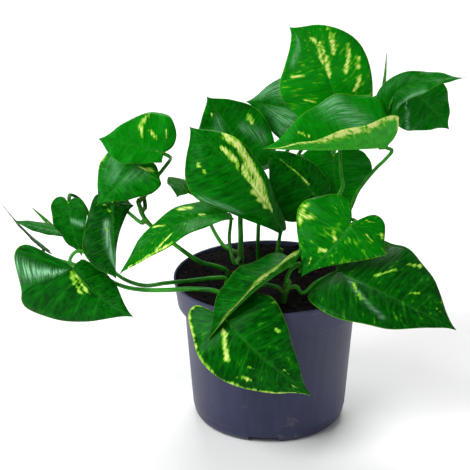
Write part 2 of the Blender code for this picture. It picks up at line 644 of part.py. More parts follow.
def make_soil():
    """A plug that fills the pot, with a rough top and a plain hole for each vine."""
    random = np.random.default_rng(SOIL_SEED)
    points = [(0.0, 0.0, SOIL_LEVEL)]
    rings = soil_rings()
    for number, (radius, height) in enumerate(rings):
        rough = SOIL_ROUGHNESS if number < len(SOIL_RINGS) else 0.0
        for step in range(SOIL_SEGMENTS):
            angle = 2 * math.pi * step / SOIL_SEGMENTS
            level = height + rough * random.uniform(-1, 1)
            points.append((radius * math.cos(angle), radius * math.sin(angle), level))
    faces = []
    for step in range(SOIL_SEGMENTS):
        faces.append((0, 1 + step, 1 + (step + 1) % SOIL_SEGMENTS))
    for ring in range(len(rings) - 1):
        for step in range(SOIL_SEGMENTS):
            following = (step + 1) % SOIL_SEGMENTS
            a = 1 + ring * SOIL_SEGMENTS + step
            b = 1 + ring * SOIL_SEGMENTS + following
            c = b + SOIL_SEGMENTS
            d = a + SOIL_SEGMENTS
            faces.append((a, d, c))
            faces.append((a, c, b))
    last = 1 + (len(rings) - 1) * SOIL_SEGMENTS
    faces.append(tuple(reversed(range(last, last + SOIL_SEGMENTS))))
    soil = add_object("soil", points, faces)
    holes = []
    for way, (thick, _) in VINES.values():
        foot = way[0]
        radius = thick / math.cos(math.pi / HOLE_SIDES) + GAP
        holes.append(upright_cylinder(foot[:2], radius, foot[2] - GAP, SOIL_LEVEL + HOLE_TOP, HOLE_SIDES))
    combine(soil, holes, "DIFFERENCE")
    finish(soil, plain_material("potting soil", SOIL_BROWN, 0.95), 30)


def build():
    clear_scene()
    make_pot()
    make_soil()
    stem_green = plain_material("stem green", STEM_GREEN, 0.45)
    leaf_green = plain_material("leaf green", LEAF_GREEN, 0.3)
    young_green = plain_material("young leaf green", YOUNG_GREEN, 0.35)
    for name in VINES:
        make_vine(name, stem_green)
    for name, (vine, share, via, shape) in LEAVES.items():
        blade = Blade(**shape)
        towards = via[0] if via else blade.line[0]
        root, grow = growing_point(vine, share, towards, PETIOLE_ROOT_RADIUS)
        make_leaf(name, root, grow, blade, leaf_green, via)
    for name in SPROUTS:
        make_sprout(name, young_green)


build()
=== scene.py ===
# %% [markdown]
# Golden pothos in a nursery pot
#
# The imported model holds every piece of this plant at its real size: a tapered plastic pot, its soil,
# nine rooted vines, twenty-five heart-shaped leaves and two young leaves that are still rolled up.
# Its solids are plain and coarse. This lesson gives each of them the surface of the real thing.
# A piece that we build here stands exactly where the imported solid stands, so we load that first.

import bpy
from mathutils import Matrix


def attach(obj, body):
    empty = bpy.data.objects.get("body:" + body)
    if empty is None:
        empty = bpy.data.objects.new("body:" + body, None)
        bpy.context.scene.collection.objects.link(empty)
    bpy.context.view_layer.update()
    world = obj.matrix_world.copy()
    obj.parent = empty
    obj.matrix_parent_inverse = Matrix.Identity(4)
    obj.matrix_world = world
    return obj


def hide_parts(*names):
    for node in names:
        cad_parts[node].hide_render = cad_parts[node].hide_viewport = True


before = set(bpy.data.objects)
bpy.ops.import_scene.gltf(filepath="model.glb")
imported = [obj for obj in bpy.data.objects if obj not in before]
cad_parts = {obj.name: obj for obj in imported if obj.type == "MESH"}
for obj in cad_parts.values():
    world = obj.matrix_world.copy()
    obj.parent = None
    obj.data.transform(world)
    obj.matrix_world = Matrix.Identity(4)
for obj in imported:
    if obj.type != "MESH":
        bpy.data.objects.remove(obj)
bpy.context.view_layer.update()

# %% [markdown]
# The tools that the whole lesson uses: numpy for the points of a surface, Blender for meshes, shaders
# and light. Sizes are written in millimetres, as on a drawing, and turned into metres at the end.

# %% Import the tools and set the unit
import math

import bpy
import numpy as np
from mathutils import Matrix, Vector, noise

MM = 0.001


def unit(vector):
    """The vector, or each row of an array of vectors, at length one."""
    vector = np.asarray(vector, dtype=float)
    return vector / np.maximum(np.linalg.norm(vector, axis=-1, keepdims=True), 1e-12)


def travelled(line):
    """How far along a line of points each of them lies."""
    return np.concatenate([[0.0], np.cumsum(np.linalg.norm(np.diff(line, axis=0), axis=1))])


def link(name, data):
    """Put new data into the scene as an object of that name."""
    thing = bpy.data.objects.new(name, data)
    bpy.context.scene.collection.objects.link(thing)
    return thing


print("numpy", np.__version__, "Blender", bpy.app.version_string)

# %% [markdown]
# A product photograph of a plant is taken with a long lens from a little above, so that the pot's rim
# is an open ellipse and the leaves keep their true proportions. The ellipse gives the angle: the rim is
# 192 pixels wide and 74 high, which is a camera 21.6 degrees above the horizon. A long lens at 1.4 m
# gives the same faint narrowing towards the foot as in the photograph.

# %% Place the camera
CAMERA_RISE = math.radians(21.6)
CAMERA_DISTANCE = 1.4
CAMERA_TARGET = Vector((-0.0216, 0.0, 0.121))
CAMERA_LENS = 173.0

camera = link("camera", bpy.data.cameras.new("camera"))
camera.data.lens = CAMERA_LENS
camera.data.sensor_width = 36.0
camera_way = Vector((0, -math.cos(CAMERA_RISE), math.sin(CAMERA_RISE)))
camera.location = CAMERA_TARGET + CAMERA_DISTANCE * camera_way
camera.rotation_euler = (math.pi / 2 - CAMERA_RISE, 0.0, 0.0)
bpy.context.scene.camera = camera
print("camera at", tuple(round(x, 3) for x in camera.location))

# %% [markdown]
# Before any material, some small helpers. A colour that is read off a photograph is an sRGB value from
# 0 to 255, while a shader works in linear light, so "paint" converts it. A shader is a net of small
# nodes: "feed" links or sets the inputs of a node, "add" makes one, and the rest name the usual ones.

# %% Helpers for colours and shader nodes


def paint(red, green, blue):
    """A linear colour with alpha from sRGB values between 0 and 255."""
    values = [value / 255 for value in (red, green, blue)]
    return (*[x / 12.92 if x <= 0.04045 else ((x + 0.055) / 1.055) ** 2.4 for x in values], 1.0)


def feed(tree, node, inputs):
    """Link or set inputs of a node, given as (name or number, socket or value) pairs."""
    for name, value in inputs:
        if isinstance(value, bpy.types.NodeSocket):
            tree.links.new(value, node.inputs[name])
        else:
            node.inputs[name].default_value = value
    return node


def add(tree, kind, inputs=(), **settings):
    """Add a node with its settings and inputs."""
    node = tree.nodes.new("ShaderNode" + kind)
    for name, value in settings.items():
        setattr(node, name, value)
    return feed(tree, node, inputs)


def calculate(tree, operation, *values):
    """The result of one step of arithmetic."""
    return add(tree, "Math", list(enumerate(values)), operation=operation).outputs[0]


def times(tree, first, second):
    """A product."""
    return calculate(tree, "MULTIPLY", first, second)


def scaled(tree, value, factor, start):
    """A value times a factor, plus a start."""
    return calculate(tree, "MULTIPLY_ADD", value, factor, start)


def between(tree, value, low, high, to_low=0.0, to_high=1.0):
    """A soft step: to_low where the value is under low, to_high where it is over high."""
    inputs = [("Value", value), ("From Min", low), ("From Max", high),
              ("To Min", to_low), ("To Max", to_high)]
    return add(tree, "MapRange", inputs, interpolation_type="SMOOTHSTEP").outputs["Result"]


def blend(tree, share, first, second):
    """A colour between two colours."""
    return add(tree, "Mix", [(0, share), (6, first), (7, second)], data_type="RGBA").outputs[2]


def cloud(tree, place, scale, detail=2.0, distortion=0.0):
    """Soft random values, most of them between 0.3 and 0.7."""
    inputs = [("Vector", place), ("Scale", scale), ("Detail", detail), ("Distortion", distortion)]
    return add(tree, "TexNoise", inputs).outputs["Fac"]


def point_at(tree, x, y, z=0.0):
    """A place made of three values."""
    return add(tree, "CombineXYZ", [("X", x), ("Y", y), ("Z", z)]).outputs[0]


def stretched(tree, place, along, across, depth=0.0):
    """A place on a grid for noise, with its own scale along the rows and across them."""
    return point_at(tree, times(tree, place[0], along), times(tree, place[1], across), depth)


def split(tree, place):
    """The three values of a place."""
    return add(tree, "SeparateXYZ", [(0, place)]).outputs


def grid_place(tree):
    """Where a spot lies on its grid: along the rows, and across them."""
    return split(tree, add(tree, "TexCoord").outputs["UV"])


def read(tree, name):
    """A value that the mesh holds at each of its points."""
    return add(tree, "Attribute", attribute_name=name).outputs["Fac"]


def new_material(name):
    """A material with its Principled shader, ready for nodes."""
    material = bpy.data.materials.new(name)
    material.use_nodes = True
    return material, material.node_tree, material.node_tree.nodes["Principled BSDF"]


print("green of a lit leaf in linear light:", [round(x, 3) for x in paint(8, 130, 11)])

# %% [markdown]
# The studio is plain: a pale floor that runs far back, so that it is also the background, and soft
# light from large panels. The floor has to come out almost white, as in the photograph, and still show
# the faint shadow that tells the eye that the pot stands on it.

# %% Lay the floor
FLOOR_HALF = 6.0
FLOOR_WHITE = (0.93, 0.93, 0.93, 1.0)

floor_mesh = bpy.data.meshes.new("floor")
floor_corners = [(-1, -1, 0), (1, -1, 0), (1, 1, 0), (-1, 1, 0)]
floor_places = [tuple(FLOOR_HALF * x for x in corner) for corner in floor_corners]
floor_mesh.from_pydata(floor_places, [], [(0, 1, 2, 3)])
floor = link("floor", floor_mesh)
floor_material, tree, shader = new_material("pale floor")
feed(tree, shader, [("Base Color", FLOOR_WHITE), ("Roughness", 0.9), ("Specular IOR Level", 0.1)])
floor_mesh.materials.append(floor_material)
print("floor across:", 2 * FLOOR_HALF, "m")

# %% [markdown]
# The photograph is bright on the left of the pot and darker on its right, with pale shine on leaves
# that face up and to the left. So the main panel hangs high on the left in front, a weaker one fills
# from the right, and a third one above and behind puts a rim of light on the top leaves. The rest of
# the room is dim: glossy leaves mirror it, and a bright room would wash their green out.

# %% Hang the light panels
PANELS = {
    "main panel": dict(place=(-0.95, -0.85, 1.25), size=1.0, power=29.0),
    "right panel": dict(place=(1.3, -0.9, 0.9), size=0.9, power=2.0),
    "back panel": dict(place=(0.1, 0.9, 1.5), size=1.0, power=23.0),
}
PANEL_AIM = Vector((0.0, 0.0, 0.1))
ROOM_LIGHT = 0.26

for name, panel in PANELS.items():
    lamp = bpy.data.lights.new(name, "AREA")
    lamp.size = panel["size"]
    lamp.energy = panel["power"]
    lamp_object = link(name, lamp)
    lamp_object.location = panel["place"]
    direction = PANEL_AIM - lamp_object.location
    lamp_object.rotation_euler = direction.to_track_quat("-Z", "Y").to_euler()

world = bpy.data.worlds.new("room")
world.use_nodes = True
feed(world.node_tree, world.node_tree.nodes["Background"],
     [("Color", (1.0, 1.0, 1.0, 1.0)), ("Strength", ROOM_LIGHT)])
bpy.context.scene.world = world
bpy.context.scene.view_settings.view_transform = "Standard"
print("panels:", len(PANELS), "power in all:", sum(panel["power"] for panel in PANELS.values()), "W")

# %% [markdown]
# Most pieces here are grids of points bent into shape: rows along a leaf, rings along a stem, rings
# down the pot. "Skin" collects such grids for one piece, with the coordinates that the shaders read:
# on every grid, the first coordinate runs along the rows and the second across them. It also keeps
# values at the points, such as how far a spot is from the midrib.

# %% A helper that turns grids into meshes


class Skin:
    """The points, faces, map coordinates and point values of one piece."""

    def __init__(self):
        self.points, self.values = [], []
        self.faces, self.places, self.slots = [], [], []
        self.count = 0

    def add_points(self, points, **values):
        """Add points in millimetres and return their numbers, in the same layout."""
        points = np.asarray(points, dtype=float)
        shape = points.shape[:-1]
        numbers = self.count + np.arange(int(np.prod(shape))).reshape(shape)
        self.points.append(points.reshape(-1, 3))
        self.values.append(
            {name: np.broadcast_to(value, shape).ravel() for name, value in values.items()})
        self.count += numbers.size
        return numbers

    def add_grid(self, numbers, along, across, slot=0, flip=False):
        """Span a grid of point numbers with faces. A face that closes to a line is left out."""
        for row in range(numbers.shape[0] - 1):
            for column in range(numbers.shape[1] - 1):
                corners = {}
                for r, c in ((row, column), (row + 1, column), (row + 1, column + 1), (row, column + 1)):
                    corners.setdefault(int(numbers[r, c]), (along[r], across[c]))
                if len(corners) < 3:
                    continue
                face = list(corners)[::-1] if flip else list(corners)
                self.faces.append(face)
                self.places.extend(corners[corner] for corner in face)
                self.slots.append(slot)

    def add_rings(self, points, along, poles=True, slot=0, flip=False, **values):
        """Add closed rings of points. With poles, the first and the last ring are one point each."""
        numbers = self.add_points(points, **values)
        if poles:
            numbers[0], numbers[-1] = numbers[0, 0], numbers[-1, 0]
        around = np.linspace(0, 1, numbers.shape[1] + 1)
        self.add_grid(np.c_[numbers, numbers[:, :1]], along, around, slot, flip)
        return numbers

    def add_cap(self, ring, slot=0, flip=False):
        """Close a ring of point numbers with one face."""
        self.faces.append([int(number) for number in (ring[::-1] if flip else ring)])
        self.places.extend([(0.0, 0.0)] * len(ring))
        self.slots.append(slot)

    def make(self, name, materials):
        """Make the object, smooth all over."""
        mesh = bpy.data.meshes.new(name)
        mesh.from_pydata(np.vstack(self.points) * MM, [], self.faces)
        mesh.uv_layers.new(name="surface").data.foreach_set("uv", np.ravel(self.places))
        mesh.polygons.foreach_set("material_index", self.slots)
        for value in {key for group in self.values for key in group}:
            held = [group.get(value, np.zeros(len(points)))
                    for group, points in zip(self.values, self.points)]
            layer = mesh.attributes.new(value, "FLOAT", "POINT")
            layer.data.foreach_set("value", np.concatenate(held))
        for material in materials:
            mesh.materials.append(material)
        mesh.shade_smooth()
        return link(name, mesh)


def stand_for(piece, node):
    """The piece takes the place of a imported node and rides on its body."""
    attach(piece, "root")
    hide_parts(node)
    return piece


print("skin ready")

# %% [markdown]
# Plastic, soil and stems all have a fine unevenness that a flat colour lacks. One shader group makes
# it for all of them: soft patches and a fine grain, each with its own size. Every material places the
# group with its own values, and decides itself what the patches and the grain change.

# %% Shader group: patches and grain


def new_group(name, inputs, outputs):
    """A shader node group, from (name, kind, default) inputs and the names of its outputs."""
    tree = bpy.data.node_groups.new(name, "ShaderNodeTree")
    for socket_name, kind, value in inputs:
        socket = tree.interface.new_socket(socket_name, in_out="INPUT", socket_type="NodeSocket" + kind)
        if value is not None:
            socket.default_value = value
    for socket_name in outputs:
        tree.interface.new_socket(socket_name, in_out="OUTPUT", socket_type="NodeSocketFloat")
    return tree, tree.nodes.new("NodeGroupInput").outputs, tree.nodes.new("NodeGroupOutput")


def use_group(tree, group, inputs=()):
    """Place a group in a material and return its outputs."""
    return add(tree, "Group", inputs, node_tree=group).outputs


unevenness, given, result = new_group(
    "unevenness",
    [("Place", "Vector", None), ("Patch Scale", "Float", 40.0), ("Grain Scale", "Float", 900.0)],
    ["Patches", "Grain"],
)
patches = cloud(unevenness, given["Place"], given["Patch Scale"], 3.0)
grain = cloud(unevenness, given["Place"], given["Grain Scale"], 2.0)
feed(unevenness, result, [
    ("Patches", between(unevenness, patches, 0.3, 0.7)),
    ("Grain", between(unevenness, grain, 0.25, 0.75))])


def object_place(tree):
    """The place on the object itself, in metres, which moves with the piece."""
    return add(tree, "TexCoord").outputs["Object"]


def bump(tree, height, depth):
    """A normal that shows a height from 0 to 1 as a relief of that depth in millimetres."""
    return add(tree, "Bump", [("Height", height), ("Distance", depth * MM)]).outputs["Normal"]


print("group:", unevenness.name)

# %% [markdown]
# The pot is injection-moulded in one piece. Its wall leans out a little, a deep lip stiffens the rim,
# and four channels in the foot let water drain. A lathe makes such a shape: we draw half of its
# outline, with every corner given its own rounding, and turn it about the pot's axis. The channels and
# the drain holes are then cut with Booleans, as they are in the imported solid.

# %% Draw the pot's outline
POT_HEIGHT = 93.8
RIM_RADIUS = 60.0
LIP_FOOT_RADIUS = 57.4
LIP_FOOT = 75.8
WALL_TOP_RADIUS = 53.2
BASE_RADIUS = 47.4
WALL = 1.4
FLOOR = 1.6
SEAM_HEIGHT = 9.0
POT_SEGMENTS = 192


def rounded(corners, steps=5):
    """An outline through (radius, height, rounding) corners, each turned into a small curve."""
    places = np.array([corner[:2] for corner in corners], dtype=float)
    outline = [places[0]]
    for before, corner, after, (_, _, rounding) in zip(places, places[1:], places[2:], corners[1:]):
        if not rounding:
            outline.append(corner)
            continue
        start = corner + unit(before - corner) * rounding
        end = corner + unit(after - corner) * rounding
        for t in np.linspace(0, 1, steps):
            outline.append((1 - t) ** 2 * start + 2 * t * (1 - t) * corner + t ** 2 * end)
    outline.append(places[-1])
    return np.array(outline)


def wall_radius(height):
    """The outer radius of the leaning wall below the lip."""
    return BASE_RADIUS + (WALL_TOP_RADIUS - BASE_RADIUS) * height / LIP_FOOT


pot_outline = rounded([
    (0.0, FLOOR, 0),
    (BASE_RADIUS - WALL - 3.5, FLOOR, 3.0),
    (wall_radius(7.0) - WALL, 7.0, 3.0),
    (wall_radius(LIP_FOOT + WALL) - WALL, LIP_FOOT + WALL, 0.6),
    (LIP_FOOT_RADIUS - WALL, LIP_FOOT + WALL, 0.6),
    (RIM_RADIUS - WALL, POT_HEIGHT - 0.4, 0.4),
    (RIM_RADIUS - WALL / 2, POT_HEIGHT, 0.5),
    (RIM_RADIUS, POT_HEIGHT - 0.2, 0.5),
    (RIM_RADIUS - 0.15, POT_HEIGHT - 2.6, 0.3),
    (RIM_RADIUS - 0.45, POT_HEIGHT - 3.0, 0.3),
    (LIP_FOOT_RADIUS, LIP_FOOT + 0.6, 0.5),
    (LIP_FOOT_RADIUS - 0.9, LIP_FOOT, 0.4),
    (wall_radius(LIP_FOOT) + 0.2, LIP_FOOT, 0.8),
    (wall_radius(SEAM_HEIGHT + 0.4), SEAM_HEIGHT + 0.4, 0.2),
    (wall_radius(SEAM_HEIGHT) - 0.3, SEAM_HEIGHT, 0.2),
    (BASE_RADIUS - 0.4, 4.0, 2.5),
    (BASE_RADIUS - 3.5, 0.0, 2.5),
    (0.0, 0.0, 0),
])
print("outline points:", len(pot_outline))

# %% Turn the outline


def turned_skin(outline, segments):
    """A closed skin of revolution. The outline starts and ends on the axis."""
    skin = Skin()
    angles = np.linspace(0, 2 * math.pi, segments, endpoint=False)
    ring = np.stack([np.cos(angles), np.sin(angles), np.ones_like(angles)], axis=-1)
    points = ring[None] * np.stack([outline[:, 0], outline[:, 0], outline[:, 1]], axis=-1)[:, None]
    reached = travelled(outline)
    skin.add_rings(points, reached / reached[-1])
    return skin


pot = turned_skin(pot_outline, POT_SEGMENTS).make("fine_pot", [])
print("pot faces:", len(pot.data.polygons))

# %% [markdown]
# The channels run outward under the foot. Over each, the floor of the pot is raised, so that no soil
# falls out, and a round hole lets the water through. The raised floor's walls rise at their outer end,
# their heel, to stay inside the rounded foot. The cutters are made, used and removed again.

# %% Cut the channels and the drain holes
CHANNEL_WIDTH = 18.5
CHANNEL_HEIGHT = 4.0
CHANNEL_START = 18.0
CHANNEL_ROOF_END = 45.0
CHANNEL_HEEL = ((40.9, 0.1), (CHANNEL_ROOF_END, 3.4))
CHANNEL_ANGLES = [math.radians(-95.0 + 90.0 * step) for step in range(4)]
DRAIN_RADIUS = 4.0
DRAIN_DISTANCE = 31.0
DRAIN_TOP = 9.0
PAST = 1.0
SHARP_EDGE = math.radians(35)


def straight_bar(profile, half_width, angle):
    """A bar along a ray from the axis. Its side has (distance, height) corners, outward and back."""
    corners = np.array([(x, side, z) for side in (-half_width, half_width) for x, z in profile])
    cos, sin = math.cos(angle), math.sin(angle)
    corners[:, :2] = corners[:, :2] @ np.array([[cos, sin], [-sin, cos]])
    count = len(profile)
    faces = [tuple(range(count)), tuple(reversed(range(count, 2 * count)))]
    faces += [((at + 1) % count, at, at + count, (at + 1) % count + count) for at in range(count)]
    mesh = bpy.data.meshes.new("bar")
    mesh.from_pydata(corners * MM, [], faces)
    return link("bar", mesh)


def round_bar(distance, angle, radius, low, high):
    """An upright cylinder, at a distance from the axis."""
    outline = np.array([(0, high), (radius, high), (radius, low), (0, low)], dtype=float)
    bar = turned_skin(outline, 32).make("bar", [])
    place = (distance * math.cos(angle) * MM, distance * math.sin(angle) * MM, 0)
    bar.data.transform(Matrix.Translation(place))
    return bar


def carve(piece, cutters, operation):
    """Join the cutters to the piece or cut them out of it, and remove them."""
    for cutter in cutters:
        modifier = piece.modifiers.new("carve", "BOOLEAN")
        modifier.operation = operation
        modifier.solver = "EXACT"
        modifier.object = cutter
    mesh = bpy.data.meshes.new_from_object(piece.evaluated_get(bpy.context.evaluated_depsgraph_get()))
    piece.modifiers.clear()
    piece.data = mesh
    for cutter in cutters:
        bpy.data.objects.remove(cutter, do_unlink=True)


half = CHANNEL_WIDTH / 2
roof = [(CHANNEL_START - FLOOR, 0.1), *CHANNEL_HEEL, (CHANNEL_ROOF_END, CHANNEL_HEIGHT + FLOOR),
        (CHANNEL_START - FLOOR, CHANNEL_HEIGHT + FLOOR)]
channel = [(CHANNEL_START, -PAST), (RIM_RADIUS, -PAST),
           (RIM_RADIUS, CHANNEL_HEIGHT), (CHANNEL_START, CHANNEL_HEIGHT)]
roofs = [straight_bar(roof, half + FLOOR, angle) for angle in CHANNEL_ANGLES]
channels = [straight_bar(channel, half, angle) for angle in CHANNEL_ANGLES]
drains = [round_bar(DRAIN_DISTANCE, angle, DRAIN_RADIUS, -PAST, DRAIN_TOP) for angle in CHANNEL_ANGLES]
carve(pot, roofs, "UNION")
carve(pot, channels + drains, "DIFFERENCE")
pot.data.shade_smooth()
pot.data.set_sharp_from_angle(angle=SHARP_EDGE)
stand_for(pot, "pot")
print("pot faces after cutting:", len(pot.data.polygons))

# %% [markdown]
# The plastic is a grey-blue polypropylene with a satin face. Up close it has a very fine grain from
# the mould, faint upright flow marks, and pale dry splashes of soil under the lip and near the foot.
# The flow marks follow the height much less than the way round, so their noise is stretched upward.

# %% Material: pot plastic
FLOW_STRETCH = 0.06
DUST_TOP = 0.03

plastic, tree, shader = new_material("pot plastic")
place = object_place(tree)
uneven = use_group(tree, unevenness, [("Place", place), ("Patch Scale", 28.0), ("Grain Scale", 1500.0)])
x, y, z = split(tree, place)
upright = cloud(tree, point_at(tree, x, y, times(tree, z, FLOW_STRETCH)), 260.0)
flow_marks = between(tree, upright, 0.35, 0.65)
splash = between(tree, cloud(tree, place, 120.0, 4.0, 0.6), 0.62, 0.72)
near_foot = between(tree, z, DUST_TOP, 0.0)
dust = times(tree, splash, scaled(tree, near_foot, 0.35, 0.08))
plain = blend(tree, uneven["Patches"], paint(38, 41, 68), paint(46, 49, 80))
plain = blend(tree, times(tree, flow_marks, 0.25), plain, paint(58, 62, 94))
rough = scaled(tree, uneven["Patches"], 0.08, 0.40)
feed(tree, shader, [
    ("Base Color", blend(tree, dust, plain, paint(120, 112, 104))),
    ("Roughness", calculate(tree, "ADD", rough, times(tree, dust, 0.4))),
    ("Normal", bump(tree, uneven["Grain"], 0.05)),
    ("Specular IOR Level", 0.3)])
pot.data.materials.clear()
pot.data.materials.append(plastic)
print("pot material:", plastic.name)

# %% [markdown]
# Potting soil is peat: a dark, loose mass of crumbs with brown fibres and bits of bark. A height field
# gives the uneven top, and several hundred crumbs, flakes and fibres lie on it. Each of them is a small
# ball that is squashed, stretched and turned by seeded random numbers, and all are one mesh.

# %% Heap the soil
SOIL_LEVEL = 92.3
SOIL_RADIUS = 58.3
SOIL_FLOOR = 5.9
SOIL_FLOOR_EDGE = 9.0
SOIL_GAP = 0.4
SOIL_RINGS = 64
SOIL_SEGMENTS = 168
SOIL_SLOPE_START = 48
# Mounds, lumps and crumbs: how wide they are, the layer of noise that they come from, and their height
SOIL_WAVES = ((17, 3.1, 0.9), (4.6, 8.4, 1.1), (1.7, 5.2, 0.6))


def soil_height(x, y):
    """The height of the soil's top, which slopes down a little at the pot's wall."""
    waves = [noise.noise(Vector((x / wide, y / wide, layer))) * high for wide, layer, high in SOIL_WAVES]
    edge = max(0.0, (math.hypot(x, y) - SOIL_SLOPE_START) / 10)
    return sum(waves, SOIL_LEVEL) - 0.6 * edge ** 2


soil_skin = Skin()
radii = np.linspace(0, SOIL_RADIUS, SOIL_RINGS)
angles = np.linspace(0, 2 * math.pi, SOIL_SEGMENTS, endpoint=False)
top = [[(r * math.cos(a), r * math.sin(a), soil_height(r * math.cos(a), r * math.sin(a)))
        for a in angles] for r in radii]
lip_rest = LIP_FOOT + WALL + 0.5
walls = [(LIP_FOOT_RADIUS - WALL - 1.1, lip_rest),
         *[(wall_radius(z) - WALL - SOIL_GAP, z) for z in (lip_rest, SOIL_FLOOR_EDGE)],
         (BASE_RADIUS - 6.5, SOIL_FLOOR), (0.0, SOIL_FLOOR)]
below = [[(r * math.cos(a), r * math.sin(a), z) for a in angles] for r, z in walls]
soil_skin.add_rings(np.array(top + below), np.arange(len(top + below)) / 70, tint=0.0)
print("soil points:", soil_skin.count)

# %% Scatter crumbs, flakes and fibres
BITS = {
    "crumb": dict(count=430, size=(0.7, 2.0), stretch=(1.0, 0.8, 0.65), tints=(0.05, 0.45)),
    "flake": dict(count=90, size=(1.3, 3.0), stretch=(1.0, 0.6, 0.18), tints=(0.5, 0.95)),
    "fibre": dict(count=120, size=(2.5, 5.5), stretch=(1.0, 0.06, 0.06), tints=(0.6, 1.0)),
}
SCATTER_RADIUS = 57.0
random = np.random.default_rng(11)
ball_latitudes = np.linspace(0, math.pi, 6)
ball_longitudes = np.linspace(0, 2 * math.pi, 8, endpoint=False)


def random_turn():
    """A random rotation that mostly keeps flat things lying."""
    yaw, pitch, roll = random.uniform(0, 2 * math.pi), random.normal(0, 0.25), random.normal(0, 0.35)
    turns = [Matrix.Rotation(angle, 3, axis) for angle, axis in ((yaw, "Z"), (pitch, "Y"), (roll, "X"))]
    return np.array(turns[0] @ turns[1] @ turns[2])


for bit in BITS.values():
    for _ in range(bit["count"]):
        distance = SCATTER_RADIUS * math.sqrt(random.uniform(0, 1))
        angle = random.uniform(0, 2 * math.pi)
        x, y = distance * math.cos(angle), distance * math.sin(angle)
        half = np.array(bit["stretch"]) * random.uniform(*bit["size"]) / 2
        rough = 1 + random.uniform(-0.28, 0.28, (len(ball_latitudes), len(ball_longitudes)))
        ball = np.stack(np.broadcast_arrays(
            np.sin(ball_latitudes)[:, None] * np.cos(ball_longitudes) * rough,
            np.sin(ball_latitudes)[:, None] * np.sin(ball_longitudes) * rough,
            np.cos(ball_latitudes)[:, None]), axis=-1)
        place = np.array([x, y, soil_height(x, y) + 0.25 * half[2]])
        points = (ball * half) @ random_turn().T + place
        soil_skin.add_rings(points, ball_latitudes, tint=random.uniform(*bit["tints"]))
print("soil points with crumbs:", soil_skin.count)

# %% [markdown]
# Moist peat is nearly black and swallows light, and the bark and the fibres on it are reddish brown.
# The mesh holds a tint at every point, 0 for peat and up to 1 for a dry fibre, and the material
# reads it.

# %% Material: potting soil
peat, tree, shader = new_material("potting soil")
place = object_place(tree)
uneven = use_group(tree, unevenness, [("Place", place), ("Patch Scale", 160.0), ("Grain Scale", 1400.0)])
dark = blend(tree, uneven["Patches"], paint(4, 3, 4), paint(17, 11, 11))
brown = blend(tree, uneven["Grain"], paint(44, 21, 13), paint(98, 54, 36))
feed(tree, shader, [
    ("Base Color", blend(tree, between(tree, read(tree, "tint"), 0.35, 1.0), dark, brown)),
    ("Roughness", scaled(tree, uneven["Grain"], 0.2, 0.75)),
    ("Normal", bump(tree, uneven["Grain"], 0.35)),
    ("Specular IOR Level", 0.08)])
soil = stand_for(soil_skin.make("fine_soil", [peat]), "soil")
print("soil faces:", len(soil.data.polygons))

# %% [markdown]
# Stems come next, because the leaves grow from them. A vine of this plant is a smooth round stem with
# a joint, or node, wherever a leaf stalk leaves it: there it is thicker, with a fine ring. The points
# below are the run of each vine, from its buried end to its tip, with its two radii.

# %% The runs of the vines
VINES = {
    "vine_left_low": (
        ((-29, -34, 76), (-29, -34, 84), (-29, -34, 93), (-30, -34, 96), (-37, -33, 98), (-50, -29, 97),
         (-63, -27, 95.5), (-78, -21, 93), (-92, -11, 91.5), (-106, -2, 95.5),
         (-118, 1, 104)), (1.6, 1.2)),
    "vine_left_middle": (
        ((-27, -9, 76), (-27, -9, 84), (-27, -9, 93), (-28, -9.5, 96), (-36, -12, 97), (-50, -15, 96.5),
         (-64, -16, 95.5), (-78, -14, 93), (-92, -2, 93), (-103, 9, 99), (-111, 15, 108)), (1.5, 1.1)),
    "vine_left_high": (
        ((-26, 3, 76), (-26, 3, 84), (-26, 3, 93), (-27, 3, 96), (-33, 2, 99), (-44, 1, 103),
         (-58, 2, 113), (-76, 2, 129), (-82, 4, 143)), (1.6, 1.2)),
    "vine_middle": (
        ((-17, 3, 76), (-17, 3, 84), (-17, 3, 93), (-18, 6, 103), (-18, 10, 116), (-18, 13, 130),
         (-14, 17, 145)), (1.8, 1.5)),
    "vine_back": (
        ((-7, 28, 76), (-7, 28, 92), (-7, 28, 108), (-6, 29, 122), (-1, 31, 135),
         (6, 32, 147)), (1.3, 1.2)),
    "vine_centre": (
        ((3, 4, 76), (3, 4, 84), (3, 4, 93), (5, 2, 103), (7, 0, 112)), (1.8, 1.5)),
    "vine_right": (
        ((20, 10, 76), (20, 10, 92), (24, 9, 106), (31, 7, 123), (39, 5, 137)), (2.2, 1.8)),
    "vine_right_back": (
        ((32, 30, 76), (32, 30, 92), (34, 33, 108), (39, 38, 132), (43, 40, 157)), (2.0, 1.6)),
    "vine_front": (
        ((8, -38, 76), (8, -38, 84), (8, -38, 93), (9, -38, 99), (11, -37, 106)), (2.0, 1.7)),
}


def even_steps(line, count):
    """Points at equal steps along a line of points."""
    reached = travelled(line)
    wanted = np.linspace(0.0, reached[-1], count)
    return np.stack([np.interp(wanted, reached, column) for column in line.T], axis=-1)


def smooth_curve(points, count):
    """Points at equal steps along a smooth curve through the given points."""
    points = np.asarray(points, dtype=float)
    padded = np.vstack([2 * points[0] - points[1], points, 2 * points[-1] - points[-2]])
    share = np.arange(0.0, 1.0, 0.05)[:, None]
    fine = [0.5 * (2 * first + (second - before) * share
                   + (2 * before - 5 * first + 4 * second - after) * share ** 2
                   + (3 * first - before - 3 * second + after) * share ** 3)
            for before, first, second, after in zip(padded, padded[1:], padded[2:], padded[3:])]
    return even_steps(np.vstack([*fine, points[-1:]]), count)


def vine_line(name, count=60):
    """The middle line of a vine."""
    return smooth_curve(VINES[name][0], count)


print("vines:", len(VINES))

# %% [markdown]
# The leaves' own design comes here too, because it says where along its vine each one grows. For each
# leaf: the vine and how far along it, the points that its stalk bows through, and the blade. A blade
# is told by three points of its midrib, the way that its upper side faces (azimuth and elevation), its
# width, and pairs of values for its left and right half: how wide, folded and curled each of them is.

